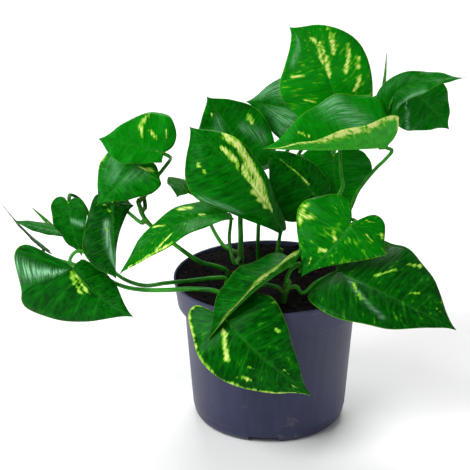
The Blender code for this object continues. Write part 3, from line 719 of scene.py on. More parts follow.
# %% The leaves
LEAVES = {
    "leaf_top": ("vine_right", 0.97, ((44, 0, 151), (43, 1, 165)), dict(
        base=(42, 10, 188), middle=(33, 13, 224), tip=(11, 6, 253), faces=(0, 30), wide=62,
        share=(1.45, 1), fold=(8, 8), curl=(-25, -25), belly=(0.9, 0.6), taper=(0.55, 0.3))),
    "leaf_top_behind": ("vine_back", 0.95, ((20, 36, 164),), dict(
        base=(30, 38, 184), middle=(9, 42, 190), tip=(-15, 42, 194), faces=(-30, 40), wide=46,
        share=(1, 1.25))),
    "leaf_upper_left": ("vine_middle", 0.95, (), dict(
        base=(-14, 20, 162), middle=(-26, 24, 183), tip=(-39, 22, 204), faces=(-15, 35), wide=56,
        share=(0.85, 0.82), belly=(0.75, 0.7))),
    "leaf_folded_right": ("vine_right", 0.86, (
        (49, -3, 139), (54, -4, 152), (63, -5, 165), (70, -6, 173)), dict(
        base=(70, -8, 182), middle=(32, -20, 184), tip=(-5, -20, 185), faces=(-5, 75), wide=70,
        share=(0.78, 1), fold=(75, 50), curl=(-5, -15), belly=(1.9, 0.8), lobes=(0.3, 0.5))),
    "leaf_arching_right": ("vine_right_back", 0.94, ((50, 38, 164), (58, 29, 186)), dict(
        base=(73, 8, 197), middle=(82, 10, 214), tip=(118, 0, 223), faces=(0, 15), wide=32,
        share=(0.6, 0.8), fold=(10, 10), taper=(0, 0.6), lobes=(1, 0.2), twist=-75)),
    "leaf_hanging_right": ("vine_right_back", 0.88, ((43, 46, 165), (52, 44, 186), (74, 36, 203)), dict(
        base=(89, 26, 205), middle=(101, 29, 193), tip=(112, 32, 179), faces=(0, 20), wide=40,
        share=(0.85, 1.1), curl=(-10, -10), lobes=(0.2, 1))),
    "leaf_large": ("vine_centre", 0.90, (), dict(
        base=(7, -12, 130), middle=(-16, -20, 166), tip=(-49, -12, 196), faces=(10, 50), wide=70,
        share=(1.13, 0.58), curl=(-50, -20), belly=(0.4, 0.5), taper=(0.9, 0.75), lobes=(0.3, 0.3),
        twist=-25)),
    "leaf_middle": ("vine_right", 0.62, (), dict(
        base=(29, 12, 141), middle=(12, 14, 161), tip=(-5, 16, 172), faces=(10, 30), wide=54,
        share=(1, 0.5), lobes=(1, 0.3))),
    "leaf_shaded": ("vine_right_back", 0.80, ((37, 36, 150), (38, 37, 164)), dict(
        base=(40, 30, 162), middle=(42, 27, 144), tip=(50, 22, 127), faces=(10, 20), wide=46,
        share=(1.1, 1), belly=(0.8, 1))),
    "leaf_front_right": ("vine_centre", 0.80, ((34, -8, 134),), dict(
        base=(48, -30, 139), middle=(35, -38, 126), tip=(18, -46, 112), faces=(10, 40), wide=64,
        share=(0.88, 1), belly=(2.6, 1), lobes=(2.5, 2.0))),
    "leaf_low_right": ("vine_front", 0.85, ((20, -38, 98), (28, -35, 104)), dict(
        base=(41, -30, 109), middle=(69, -46, 101), tip=(113, -46, 77), faces=(15, 45), wide=62,
        share=(1.25, 0.98), fold=(8, 8), belly=(0.6, 1.2), lobes=(1, 0.4))),
    "leaf_front": ("vine_front", 0.75, ((-6, -40, 104), (-20, -54, 102)), dict(
        base=(-26, -66, 91), middle=(-5, -76, 72), tip=(25, -70, 44), faces=(-5, 30), wide=58,
        share=(1.05, 0.95), belly=(1.3, 1.15), lobes=(1.5, 2.2))),
    "leaf_folded_front": ("vine_front", 0.97, ((12, -38, 113),), dict(
        base=(14, -40, 119), middle=(-13, -62, 107), tip=(-38, -72, 82), faces=(-10, 75), wide=54,
        share=(0.55, 1), fold=(70, 5), curl=(-10, -10), belly=(1, 0.75), taper=(0, 0.4),
        lobes=(0.2, 0.2))),
    "leaf_arching_left": ("vine_middle", 0.36, ((-22, -12, 107), (-25, -12, 122)), dict(
        base=(-27, -10, 139), middle=(-62, -27, 136), tip=(-92, -38, 110), faces=(-20, 50), wide=48,
        share=(0.82, 0.5), fold=(35, 5), belly=(0.6, 1), taper=(0.5, 0), lobes=(0.1, 0.2))),
    "leaf_left_high": ("vine_left_high", 0.99, ((-72, 12, 152), (-62, 14, 165)), dict(
        base=(-66, 0, 175), middle=(-86, 0, 181), tip=(-105, 0, 184), faces=(-5, 35), wide=47,
        share=(0.65, 1.05), belly=(0.5, 1.15), taper=(0.5, 0), lobes=(0.2, 1))),
    "leaf_left_second": ("vine_left_high", 0.92, ((-80, 14, 152),), dict(
        base=(-84, 8, 165), middle=(-95, 0, 153), tip=(-107, -8, 143), faces=(-10, 30), wide=44,
        share=(1, 0.85), belly=(1.6, 1), lobes=(1.5, 1))),
    "leaf_left_hanging": ("vine_left_high", 0.84, (), dict(
        base=(-98, 10, 138), middle=(-97, -8, 121), tip=(-94, -30, 104), faces=(10, 30), wide=38,
        share=(0.74, 1.1), belly=(4, 0.45), taper=(0, 0.3))),
    "leaf_left_small": ("vine_left_middle", 0.96, ((-116, 18, 134),), dict(
        base=(-125, 10, 138), middle=(-123, 8, 122), tip=(-117, 6, 104), faces=(-20, 10), wide=26,
        share=(0.85, 1), lobes=(0.8, 0.8))),
    "leaf_left_edge": ("vine_left_low", 0.96, (), dict(
        base=(-141, 10, 109), middle=(-154, 7, 123), tip=(-166, 3, 141), faces=(107, 38), wide=14,
        fold=(0, 0), curl=(-10, -10), wave=0.2)),
    "leaf_left_narrow": ("vine_left_middle", 0.90, ((-123, 22, 110),), dict(
        base=(-131, 19, 116), middle=(-146, 20, 119), tip=(-161, 20, 123), faces=(0, 70), wide=10,
        fold=(0, 0), curl=(-10, -10), belly=(0.7, 0.7), wave=0.2)),
    "leaf_far_left": ("vine_left_low", 0.86, ((-110, -5, 109), (-119, -7, 113)), dict(
        base=(-121, -14, 105), middle=(-105, -20, 88), tip=(-84, -28, 78), faces=(-25, 40), wide=80,
        share=(0.5, 1.06), fold=(0, 0), curl=(-40, -25), belly=(1, 1.9), taper=(0.5, 0),
        lobes=(0.2, 4.2), full=(1, 0.7))),
    "leaf_back_left": ("vine_middle", 0.42, ((-30, 14, 110), (-37, 22, 120)), dict(
        base=(-41, 34, 137), middle=(-50, 45, 139), tip=(-59, 55, 125), faces=(-150, 45), wide=40)),
    "leaf_back_middle": ("vine_back", 0.85, (), dict(
        base=(4, 50, 150), middle=(6, 72, 146), tip=(4, 92, 128), faces=(180, 50), wide=48)),
    "leaf_back_right": ("vine_back", 0.75, (), dict(
        base=(24, 54, 140), middle=(36, 70, 133), tip=(46, 84, 112), faces=(150, 45), wide=44)),
    "leaf_back_high": ("vine_back", 0.92, ((14, 42, 166),), dict(
        base=(22, 56, 176), middle=(18, 70, 180), tip=(8, 86, 170), faces=(170, 60), wide=44)),
}
SPROUTS = {
    "sprout_right": ("vine_right_back", 0.99, (
        (45, 41, 170), (54, 36, 187), (68, 26, 200), (70, 22, 214), (71, 21, 232))),
    "sprout_left": ("vine_left_middle", 0.99, ((-123, 28, 108), (-134, 30, 112), (-150, 28, 129))),
}
print("leaves:", len(LEAVES), "young leaves:", len(SPROUTS))

# %% [markdown]
# A stem is a tube of rings round a smooth line. The rings must not twist as the line bends, so each
# ring takes over the sideways direction of the one before it and only makes it square to the line
# again. Ridges, grooves and swellings are factors on the radius, so one helper makes every stem.

# %% A helper for tubes


def tube(skin, line, radii, sides, slot=0, side=(0.31, 0.17, 0.94), factors=1.0, **values):
    """Add a closed tube along a line of points. Factors scale the radius of each ring or point."""
    tangents = unit(np.gradient(line, axis=0))
    across = np.asarray(side, dtype=float)
    frames = []
    for tangent in tangents:
        across = unit(across - tangent * (across @ tangent))
        frames.append((across, np.cross(tangent, across)))
    right, up = np.moveaxis(np.array(frames), 1, 0)[:, :, None]
    angles = np.linspace(0, 2 * math.pi, sides, endpoint=False)[None, :, None]
    reach = (np.asarray(radii, dtype=float)[:, None] * factors * np.ones(sides))[..., None]
    points = line[:, None] + reach * (np.cos(angles) * right + np.sin(angles) * up)
    numbers = skin.add_rings(
        points, travelled(line) / 100, poles=False, slot=slot, flip=True, **values)
    skin.add_cap(numbers[0], slot, flip=True)
    skin.add_cap(numbers[-1], slot)


print("tube helper ready")

# %% [markdown]
# Stems and stalks share one look: a smooth, juicy green with fine paler lines along it, and brown in
# the rings where a leaf stalk clasps the vine. The mesh says where those dry rings are, and the lines
# are noise that is stretched along the stem. The shine is tinted green, as in the photograph, where
# the leaves light each other.

# %% Material: stems and stalks
GREEN_SHINE = (0.4, 1.0, 0.5, 1.0)

stem_green, tree, shader = new_material("stem green")
lines = cloud(tree, stretched(tree, grid_place(tree), 12.0, 14.0), 1.0, 3.0)
uneven = use_group(tree, unevenness, [("Place", object_place(tree)), ("Patch Scale", 60.0)])
green = blend(tree, uneven["Patches"], paint(10, 78, 8), paint(44, 138, 22))
green = blend(tree, between(tree, lines, 0.5, 0.75), green, paint(88, 164, 52))
dry = read(tree, "dry")
feed(tree, shader, [
    ("Base Color", blend(tree, dry, green, paint(74, 78, 30))),
    ("Roughness", scaled(tree, dry, 0.35, 0.36)),
    ("Normal", bump(tree, lines, 0.12)),
    ("Specular IOR Level", 0.25),
    ("Specular Tint", GREEN_SHINE)])
print("stem material:", stem_green.name)

# %% Grow the vines
VINE_STEPS = 110
VINE_SIDES = 20
VINE_END = (0.95, 0.8, 0.35)
NODE_SWELLING = 0.22
NODE_HALF_LENGTH = 3.2
NODE_DRYNESS = 0.7
DRY_HALF_LENGTH = 0.8


def joints_on(vine):
    """How far along a vine its leaves and young leaves leave it, as shares of its length."""
    return sorted(entry[1] for entry in [*LEAVES.values(), *SPROUTS.values()] if entry[0] == vine)


for name, (_, (thick, thin)) in VINES.items():
    line = vine_line(name, VINE_STEPS)
    share = np.linspace(0, 1, VINE_STEPS)
    swelling = np.ones(VINE_STEPS)
    dry = np.zeros(VINE_STEPS)
    for joint in joints_on(name):
        gap = (share - joint) * travelled(line)[-1]
        swelling += NODE_SWELLING * np.exp(-(gap / NODE_HALF_LENGTH) ** 2)
        dry += NODE_DRYNESS * np.exp(-(gap / DRY_HALF_LENGTH) ** 2)
    radii = np.linspace(thick, thin, VINE_STEPS) * swelling
    radii[-len(VINE_END):] *= VINE_END
    vine_skin = Skin()
    tube(vine_skin, line, radii, VINE_SIDES, dry=np.clip(dry, 0, 1)[:, None])
    stand_for(vine_skin.make("fine_" + name, [stem_green]), name)
print("vines grown:", len(VINES))

# %% [markdown]
# A blade is a thin heart-shaped sheet. It bends down along its midrib, each half folds up from the
# midrib and curls down again towards the margin, and the margin itself is gently waved. Its side veins
# leave the midrib at a slant and curve towards the tip. We lay the rows of the grid along these veins,
# so that everything that follows the veins, such as relief or colour, can simply follow the rows.

# %% The blade's sheet
HALF_OUTLINE = (
    (0.0, 0.0), (-0.07, 0.10), (-0.135, 0.30), (-0.125, 0.58), (-0.03, 0.84), (0.13, 0.99),
    (0.33, 0.96), (0.53, 0.76), (0.71, 0.47), (0.84, 0.21), (0.93, 0.065), (1.0, 0.0),
)
BLADE_ROWS = 96
BLADE_PARTS = np.linspace(0.0, 1.0, 17) ** 1.5
BEND_STEPS = (np.arange(12) + 0.5) / 12
VEIN_START = 0.02
VEIN_SPREAD = 0.93
VEIN_SLANT = 0.10
VEIN_CURVE = 1.25


def aim(azimuth, elevation):
    """The direction that a blade's upper side faces: azimuth 0 is the front, 90 is the right."""
    turn, rise = math.radians(azimuth), math.radians(elevation)
    return np.array([math.sin(turn) * math.cos(rise), -math.cos(turn) * math.cos(rise), math.sin(rise)])


class Blade:
    """A heart-shaped blade bent along its midrib, with its own values for each half."""

    def __init__(self, base, middle, tip, faces, wide, share=(1, 1), fold=(5, 5), curl=(-20, -20),
                 belly=(1, 1), taper=(0, 0), lobes=(1, 1), full=(1, 1), twist=0, wave=1.0):
        base, middle, tip = (np.array(point, dtype=float) for point in (base, middle, tip))
        handle = 2 * middle - 0.5 * (base + tip)
        t = np.linspace(0.0, 1.0, 60)[:, None]
        self.line = (1 - t) ** 2 * base + 2 * t * (1 - t) * handle + t ** 2 * tip
        reached = travelled(self.line)
        self.length = reached[-1]
        self.along = reached / self.length
        self.tangents = unit(np.gradient(self.line, axis=0))
        normal, normals = aim(*faces), []
        for tangent in self.tangents:
            normal = unit(normal - tangent * (normal @ tangent))
            normals.append(normal)
        sides = np.cross(self.tangents, normals)
        turn = np.radians(twist) * self.along[:, None]
        self.normals = np.array(normals) * np.cos(turn) + sides * np.sin(turn)
        self.sides = np.cross(self.tangents, self.normals)
        self.wide, self.share, self.fold, self.curl = wide, share, fold, curl
        self.belly, self.taper, self.lobes, self.full, self.wave = belly, taper, lobes, full, wave

    def read(self, values, along):
        """Values of the midrib's points, read at any share of its length."""
        along = np.clip(along, 0.0, 1.0)
        return np.stack([np.interp(along, self.along, column) for column in values.T], axis=-1)

    def margin(self, hand, rows):
        """One half's outline in even steps: how far along the midrib, and how far across."""
        shaped = []
        for along, across in HALF_OUTLINE:
            if along < 0:
                along, across = along * self.lobes[hand], across ** self.full[hand]
            else:
                along = along ** self.belly[hand]
            shaped.append((along, across * (1 - self.taper[hand] * (1 - max(along, 0.0)) ** 1.5)))
        shape = np.array([1.0, 0.5 * self.wide / self.length])
        return smooth_curve(np.array(shaped) * shape, rows + 1) / shape

    def half(self, hand, rows=BLADE_ROWS, parts=BLADE_PARTS):
        """A grid from the midrib to the margin: its points, and for each how far along and across."""
        along, across = self.margin(hand, rows).T
        foot = np.clip((along - VEIN_START) * VEIN_SPREAD - VEIN_SLANT * across, 0.0, 1.0)
        foot[foot < 2 * VEIN_START] = 0.0
        foot[-1] = 1.0
        foot = np.maximum.accumulate(foot)
        u = foot[:, None] + (along - foot)[:, None] * parts ** VEIN_CURVE
        reach = across[:, None] * 0.5 * self.wide * self.share[hand] * parts
        part = np.broadcast_to(parts, u.shape)
        angle = np.radians(self.fold[hand]) + np.radians(self.curl[hand]) * part[..., None] * BEND_STEPS
        out = np.cos(angle).mean(axis=-1) * reach * (1 if hand else -1)
        up = np.sin(angle).mean(axis=-1) * reach
        ripple = self.wave * part ** 2.2 * np.sin(6 * math.pi * u + 0.9 * hand)
        up = up + ripple * np.clip((1 - u) * 4, 0, 1) * np.clip(1 + 5 * u, 0, 1)
        behind = (np.minimum(u, 0.0) * self.length)[..., None] * self.tangents[0]
        points = (self.read(self.line, u) + behind + self.read(self.sides, u) * out[..., None]
                  + self.read(self.normals, u) * up[..., None])
        return points, u, reach


print("points on one half of a blade:", (BLADE_ROWS + 1) * len(BLADE_PARTS))

# %% [markdown]
# The sheet then gets its thickness and relief. A real blade is about 0.4 mm thick. On its upper side
# the midrib lies in a groove, and the blade swells a little between the side veins; below, the midrib
# stands out as a rib that fades towards the tip. Both sides share the points' numbering along the
# margin, so that the edge closes, and the margin is thinner than the middle.

# %% Thickness and relief
SIDE_VEINS = 11
BLADE_HALF_THICKNESS = 0.21
MARGIN_HALF_THICKNESS = 0.10
SWELL_HEIGHT = 0.12
GROOVE_DEPTH = 0.34
RIB_HEIGHT = 1.0
RIB_WIDTH = 1.15


def joined_halves(blade):
    """Both halves' points as one list, with each half's table of numbers, joined at the midrib."""
    halves = [blade.half(hand) for hand in (0, 1)]
    size = halves[0][1].size
    left = np.arange(size).reshape(halves[0][1].shape)
    right = left + size
    right[:, 0] = left[:, 0]
    points, along, reach = (
        np.concatenate([half.reshape(size, -1) for half in pair]) for pair in zip(*halves))
    for table in (left, right):
        table[np.linalg.norm(points[table] - blade.line[0], axis=-1) < 0.01] = 0
        table[-1] = left[-1, 0]
    return points, along[:, 0], reach[:, 0], (left, right)


def sheet_normals(points, tables):
    """Each point's direction away from the upper side, averaged over the faces round it."""
    normals = np.zeros_like(points)
    for table, sign in zip(tables, (1, -1)):
        a, b, c, d = table[:-1, :-1], table[1:, :-1], table[1:, 1:], table[:-1, 1:]
        facing = sign * np.cross(points[c] - points[a], points[d] - points[b])
        for corner in (a, b, c, d):
            np.add.at(normals, corner, facing)
    return unit(normals)


def lay_blade(skin, blade, streaks, speckle, tone, seed, bloom=(), peak=0.9, painted_highlight_peak=1.0):
    """Add a blade's upper side (slot 0), its underside (slot 1) and its edge to a skin."""
    points, along, reach, tables = joined_halves(blade)
    normals = sheet_normals(points, tables)
    rows = np.linspace(0, 1, BLADE_ROWS + 1)
    row = np.tile(np.repeat(rows, len(BLADE_PARTS)), 2)
    part = np.tile(BLADE_PARTS, 2 * len(rows))
    hand = np.repeat((0, 1), len(row) // 2)
    forward = np.clip(along, 0, 1)
    rib = np.exp(-(reach / (RIB_WIDTH * (1 - 0.6 * forward))) ** 2)
    between_veins = 0.5 - 0.5 * np.cos(2 * math.pi * SIDE_VEINS * row)
    swell = SWELL_HEIGHT * np.sin(math.pi * part ** 0.7) * between_veins
    half = BLADE_HALF_THICKNESS + (MARGIN_HALF_THICKNESS - BLADE_HALF_THICKNESS) * part ** 6
    groove = GROOVE_DEPTH * rib * (1 - 0.7 * forward) * (along > 0)
    ridge = RIB_HEIGHT * rib * (1 - forward) ** 1.3
    marks = variegation(blade, hand, row, part, streaks, speckle, peak)
    # The second value is a painted highlight: how much pale painted sheen each point takes.
    values = dict(variegation=marks, bloom=variegation(blade, hand, row, part, bloom, peak=painted_highlight_peak),
                  midrib=rib * (1 - 0.5 * forward), tone=tone, seed=seed)
    upper = skin.add_points(points + normals * (half + swell - groove)[:, None], **values)
    lower = skin.add_points(points - normals * (half - swell + ridge)[:, None], **values)
    for table, sign in zip(tables, (-1, 1)):
        skin.add_grid(upper[table], rows, sign * BLADE_PARTS, 0, flip=sign > 0)
        skin.add_grid(lower[table], rows, sign * BLADE_PARTS, 1, flip=sign < 0)
        edge = np.stack([upper[table[:, -1]], lower[table[:, -1]]], axis=1)
        skin.add_grid(edge, rows, (sign * 1.0, sign * 1.0), 0, flip=sign > 0)


print("blade thickness in mm:", 2 * BLADE_HALF_THICKNESS)

# %% [markdown]
# Golden pothos is named for its cream and yellow-green marks. They run along the side veins, in
# splashes with frayed ends, and fade into fine speckles. Where they lie is different on every leaf, so
# each leaf has a short list of streaks: which half, where it starts and ends (in percent, from the
# notch to the tip and from the midrib to the margin), and its half width in millimetres. The tone
# makes a leaf's green deeper or yellower, the speckle sprinkles it all over, and the peak is how much
# cream its streaks reach. A second list of streaks places a painted highlight: a pale sheen painted
# into the colour where the glossy skin reflects the light, with its own strength. The mesh keeps how
# close a point is to a streak, and the shader breaks the edge up with noise that follows the veins.

# %% Where the marks lie
LEFT, RIGHT = 0, 1
# A leaf's second list of streaks is a painted highlight: pale sheen painted where the glossy skin
# reflects the light, with its own strength.
MARKS = {
    "leaf_top": dict(tone=1.25, speckle=0.2, streaks=(
        (RIGHT, 88, 45, 74, 2, 2.0), (RIGHT, 82, 40, 68, 5, 1.5), (RIGHT, 72, 15, 64, 2, 1.9),
        (RIGHT, 67, 80, 60, 40, 1.2), (RIGHT, 53, 70, 49, 50, 1.3), (RIGHT, 77, 75, 71, 40, 1.2),
        (RIGHT, 80, 90, 76, 80, 0.9), (RIGHT, 60, 85, 56, 70, 1.0), (LEFT, 69, 78, 68, 50, 1.0),
        (LEFT, 50, 60, 48, 40, 0.8)), bloom=((LEFT, 95, 50, 80, 75, 3.5),)),
    "leaf_top_behind": dict(tone=0.1, speckle=0.05, streaks=((RIGHT, 70, 70, 58, 12, 0.9),),
                            bloom=((RIGHT, 80, 80, 50, 30, 8.0), (LEFT, 70, 30, 50, 60, 7.0))),
    "leaf_upper_left": dict(tone=0.2, painted_highlight_peak=0.7, speckle=0.1, streaks=(
        (LEFT, 86, 50, 85, 46, 1.2), (RIGHT, 62, 70, 58, 68, 1.3)),
        bloom=((LEFT, 80, 20, 50, 60, 3.5), (RIGHT, 60, 40, 45, 70, 2.5))),
    "leaf_folded_right": dict(tone=1.0, speckle=0.08, streaks=(
        (RIGHT, 81, 70, 76, 40, 1.2), (LEFT, 20, 97, 42, 97, 3.4), (LEFT, 44, 92, 66, 84, 7.2),
        (LEFT, 66, 93, 95, 97, 4.0)), bloom=((RIGHT, 57, 90, 47, 50, 6.0),)),
    "leaf_arching_right": dict(tone=0.0, speckle=0.0, streaks=(), bloom=((RIGHT, 20, 90, 60, 90, 2.5),)),
    "leaf_hanging_right": dict(tone=0.3, painted_highlight_peak=2.0, speckle=0.0, streaks=(), bloom=(
        (RIGHT, 27, 40, 45, 55, 0.7), (RIGHT, 45, 55, 54, 95, 0.7), (RIGHT, 22, 97, 44, 97, 0.8))),
    "leaf_large": dict(tone=0.1, speckle=0.1, streaks=(
        (RIGHT, 80, 32, 68, 22, 3.2), (RIGHT, 68, 22, 56, 10, 4.0), (RIGHT, 56, 10, 44, 2, 4.4),
        (LEFT, 50, 3, 37, 6, 4.0), (RIGHT, 76, 88, 62, 66, 4.2), (RIGHT, 62, 55, 46, 24, 6.0),
        (LEFT, 82, 70, 74, 56, 1.2), (RIGHT, 46, 25, 34, 6, 3.6)),
        bloom=((LEFT, 60, 90, 40, 80, 2.5),)),
    "leaf_middle": dict(tone=-0.3, peak=0.7, speckle=0.05, streaks=(
        (LEFT, 88, 2, 72, 2, 0.8), (RIGHT, 74, 3, 50, 10, 0.9))),
    "leaf_shaded": dict(tone=0.5, speckle=0.0, streaks=()),
    "leaf_front_right": dict(tone=0.6, speckle=0.175, streaks=(
        (RIGHT, 62, 93, 49, 94, 1.8), (RIGHT, 57, 84, 55, 68, 1.4), (RIGHT, 58, 16, 61, 4, 1.1),
        (RIGHT, 76, 25, 73, 6, 1.4), (LEFT, 36, 92, 34, 90, 1.0), (LEFT, 24, 70, 20, 66, 1.2),
        (RIGHT, 90, 44, 87, 40, 1.4), (LEFT, 40, 50, 45, 55, 1.1), (LEFT, 50, 97, 95, 97, 0.8))),
    "leaf_low_right": dict(tone=-0.4, peak=0.75, speckle=0.15, streaks=(
        (RIGHT, 45, 12, 51, 44, 1.0), (LEFT, 54, 20, 60, 50, 0.9), (LEFT, 62, 70, 68, 95, 1.0),
        (LEFT, 89, 56, 91, 70, 0.9), (LEFT, 74, 30, 77, 45, 0.8), (RIGHT, 70, 97, 95, 97, 0.5)),
        bloom=((RIGHT, 44, 12, 60, 75, 1.3),)),
    "leaf_front": dict(tone=-0.3, speckle=0.14, streaks=(
        (RIGHT, 24, 99, 40, 99, 1.3), (RIGHT, 40, 99, 70, 99, 1.0), (RIGHT, 70, 99, 98, 99, 1.1),
        (RIGHT, 10, 98, 24, 99, 1.4), (RIGHT, 50, 18, 56, 56, 1.3), (RIGHT, 68, 44, 67, 40, 1.1),
        (LEFT, 60, 75, 58, 72, 1.0), (LEFT, 81, 26, 85, 30, 1.3), (RIGHT, 91, 38, 93, 42, 1.1),
        (LEFT, 30, 97, 55, 97, 0.8), (RIGHT, 62, 80, 70, 70, 0.9))),
    "leaf_folded_front": dict(tone=-0.4, speckle=0.08, streaks=(
        (LEFT, 28, 80, 60, 70, 4.5), (LEFT, 60, 70, 94, 60, 3.0))),
    "leaf_arching_left": dict(tone=0.4, speckle=0.17, streaks=(
        (LEFT, 60, 90, 84, 97, 1.6), (LEFT, 61, 50, 72, 90, 1.2), (RIGHT, 49, 75, 44, 70, 1.6),
        (RIGHT, 66, 80, 66, 40, 1.2), (LEFT, 84, 97, 92, 90, 0.9), (RIGHT, 47, 8, 44, 6, 0.9),
        (RIGHT, 30, 28, 28, 24, 0.9))),
    "leaf_left_high": dict(tone=1.0, peak=0.75, speckle=0.1, streaks=(
        (RIGHT, 61, 70, 54, 97, 1.3), (RIGHT, 61, 30, 62, 65, 0.9), (RIGHT, 54, 50, 48, 30, 0.9),
        (RIGHT, 40, 60, 36, 40, 0.7))),
    "leaf_left_second": dict(tone=0.4, peak=0.8, painted_highlight_peak=0.5, speckle=0.1, streaks=(
        (LEFT, 34, 25, 28, 76, 1.7), (RIGHT, 42, 97, 58, 97, 0.9)),
        bloom=((LEFT, 60, 10, 40, 40, 3.5), (RIGHT, 60, 30, 45, 60, 4.0))),
    "leaf_left_hanging": dict(tone=-0.6, peak=0.6, painted_highlight_peak=1.4, speckle=0.08, streaks=(
        (RIGHT, 30, 40, 40, 5, 1.2), (RIGHT, 50, 30, 60, 10, 0.8)),
        bloom=((RIGHT, 50, 20, 92, 10, 2.2), (LEFT, 78, 60, 92, 40, 2.5))),
    "leaf_left_small": dict(tone=0.0, painted_highlight_peak=1.4, speckle=0.0, streaks=(),
                            bloom=((LEFT, 57, 10, 57, 80, 1.4),)),
    "leaf_left_edge": dict(tone=-0.8, speckle=0.0, streaks=()),
    "leaf_left_narrow": dict(tone=0.0, speckle=0.1, streaks=()),
    "leaf_far_left": dict(tone=-0.3, peak=0.68, painted_highlight_peak=1.7, speckle=0.03, streaks=(
        (RIGHT, 60, 8, 70, 24, 1.5), (RIGHT, 61, 2, 74, 12, 1.4), (RIGHT, 78, 97, 95, 97, 0.9)),
        bloom=((RIGHT, 38, 100, 42, 20, 2.8),)),
}
PLAIN_MARKS = dict(tone=0.0, speckle=0.12, streaks=(
    (LEFT, 50, 30, 60, 70, 1.5), (RIGHT, 40, 40, 50, 80, 1.2)))


def variegation(blade, hand, row, part, streaks, speckle=0.0, peak=1.0):
    """How marked each point of a blade may be: the speckle everywhere, and more near a streak."""
    amount = np.full(row.shape, float(speckle))
    for side, row_a, part_a, row_b, part_b, half_width in streaks:
        scale = np.array([1.2 * blade.length, 0.5 * blade.wide * blade.share[side]])
        start, end = (np.array(ends) / 100 * scale for ends in ((row_a, part_a), (row_b, part_b)))
        place = np.stack([row, part], axis=-1) * scale
        run = end - start
        share = np.clip((place - start) @ run / max(run @ run, 1e-9), 0, 1)
        gap = np.linalg.norm(place - start - share[:, None] * run, axis=-1)
        near = peak * np.exp(-(gap / half_width) ** 2) * (hand == side)
        amount = np.maximum(amount, near)
    return amount


print("leaves with streaks:", sum(bool(marks["streaks"]) for marks in MARKS.values()))

# %% [markdown]
# Two shader groups carry what both leaf materials share. "side veins" turns the row coordinate into
# fine lines, with a finer relief between them. "marks" compares the mesh's variegation value with
# stretched noise, and gives two masks: a wide yellow-green fringe, and the cream inside it. Its
# "Streaks" is that noise itself, which makes the green uneven, and its last output is noise in fine
# lines across the veins, which breaks up the painted highlight: pale streaks of painted sheen where
# the quilted skin would catch the light.

# %% Shader groups: side veins and marks
SEED_STEP = 7.3

side_veins, given, result = new_group(
    "side veins",
    [("Row", "Float", 0.0), ("Part", "Float", 0.0), ("Count", "Float", SIDE_VEINS),
     ("Width", "Float", 0.12)],
    ["Line", "Fine Relief"],
)
tree = side_veins
turns = times(tree, given["Row"], times(tree, given["Count"], 2 * math.pi))
wave = calculate(tree, "COSINE", turns)
line_mask = between(tree, wave, calculate(tree, "SUBTRACT", 1.0, given["Width"]), 1.0)
fade = between(tree, given["Part"], 1.0, 0.55)
fine_wave = calculate(tree, "COSINE", times(tree, turns, 4.0))
feed(tree, result, [
    ("Line", times(tree, line_mask, fade)),
    ("Fine Relief", scaled(tree, fine_wave, 0.5, 0.5))])

marks_group, given, result = new_group(
    "marks",
    [("Row", "Float", 0.0), ("Across", "Float", 0.0), ("Seed", "Float", 0.0), ("Amount", "Float", 0.0),
     ("Fray", "Float", 3.0)],
    ["Fringe", "Cream", "Streaks", "Painted Gleam"],
)
tree = marks_group
grid = (given["Row"], given["Across"])
layer = times(tree, given["Seed"], SEED_STEP)
fine = cloud(tree, stretched(tree, grid, 62.0, 5.0, layer), 1.0, 3.0, 0.4)
wide = cloud(tree, stretched(tree, grid, 17.0, 2.6, layer), 1.0, 2.0, 0.6)
both = scaled(tree, fine, 0.6, times(tree, wide, 0.4))
fray = scaled(tree, given["Amount"], given["Fray"], 1.0)
swing = times(tree, calculate(tree, "SUBTRACT", both, 0.5), fray)
level = calculate(tree, "ADD", given["Amount"], swing)
feed(tree, result, [
    ("Fringe", between(tree, level, 0.28, 0.50)),
    ("Cream", between(tree, level, 0.50, 0.95)),
    ("Streaks", both),
    ("Painted Gleam", cloud(tree, stretched(tree, grid, 7.0, 42.0, layer), 1.0, 2.0, 0.5))])
print("groups:", side_veins.name, "and", marks_group.name)

# %% [markdown]
# A pothos leaf is glossy above, with a waxy skin over a deep, clean green. Its green is never even: it
# is darker between the veins, lighter along them, and yellower in the young leaves at the top. The
# underside is paler and duller. One function makes both sides from named colours, so that the marks,
# the veins and the midrib line up where the two sides meet.

# %% Material: leaf blade, upper side and underside
TONE_GAIN = 0.45
STREAK_GAIN = 1.9
GREEN_START = -0.6
PAINTED_HIGHLIGHT_SHARE = 0.55
VEIN_SHARE = 0.22
RIB_SHARE = 0.35
EDGE_SHARE = 0.5
RELIEF = 0.16
# The third colour of each side is the pale tint of a painted highlight, not a colour of the leaf.
UPPER_SIDE = dict(
    deep=(0, 56, 1), fresh=(5, 128, 5), bloom=(140, 202, 156), fringe=(104, 174, 26),
    cream=(210, 224, 126), rib=(40, 130, 30), roughness=0.24, roughness_range=0.24, shine=0.11)
UNDERSIDE = dict(
    deep=(8, 92, 8), fresh=(50, 160, 36), bloom=(140, 200, 152), fringe=(112, 178, 40),
    cream=(210, 222, 128), rib=(80, 152, 54), roughness=0.40, roughness_range=0.2, shine=0.10)


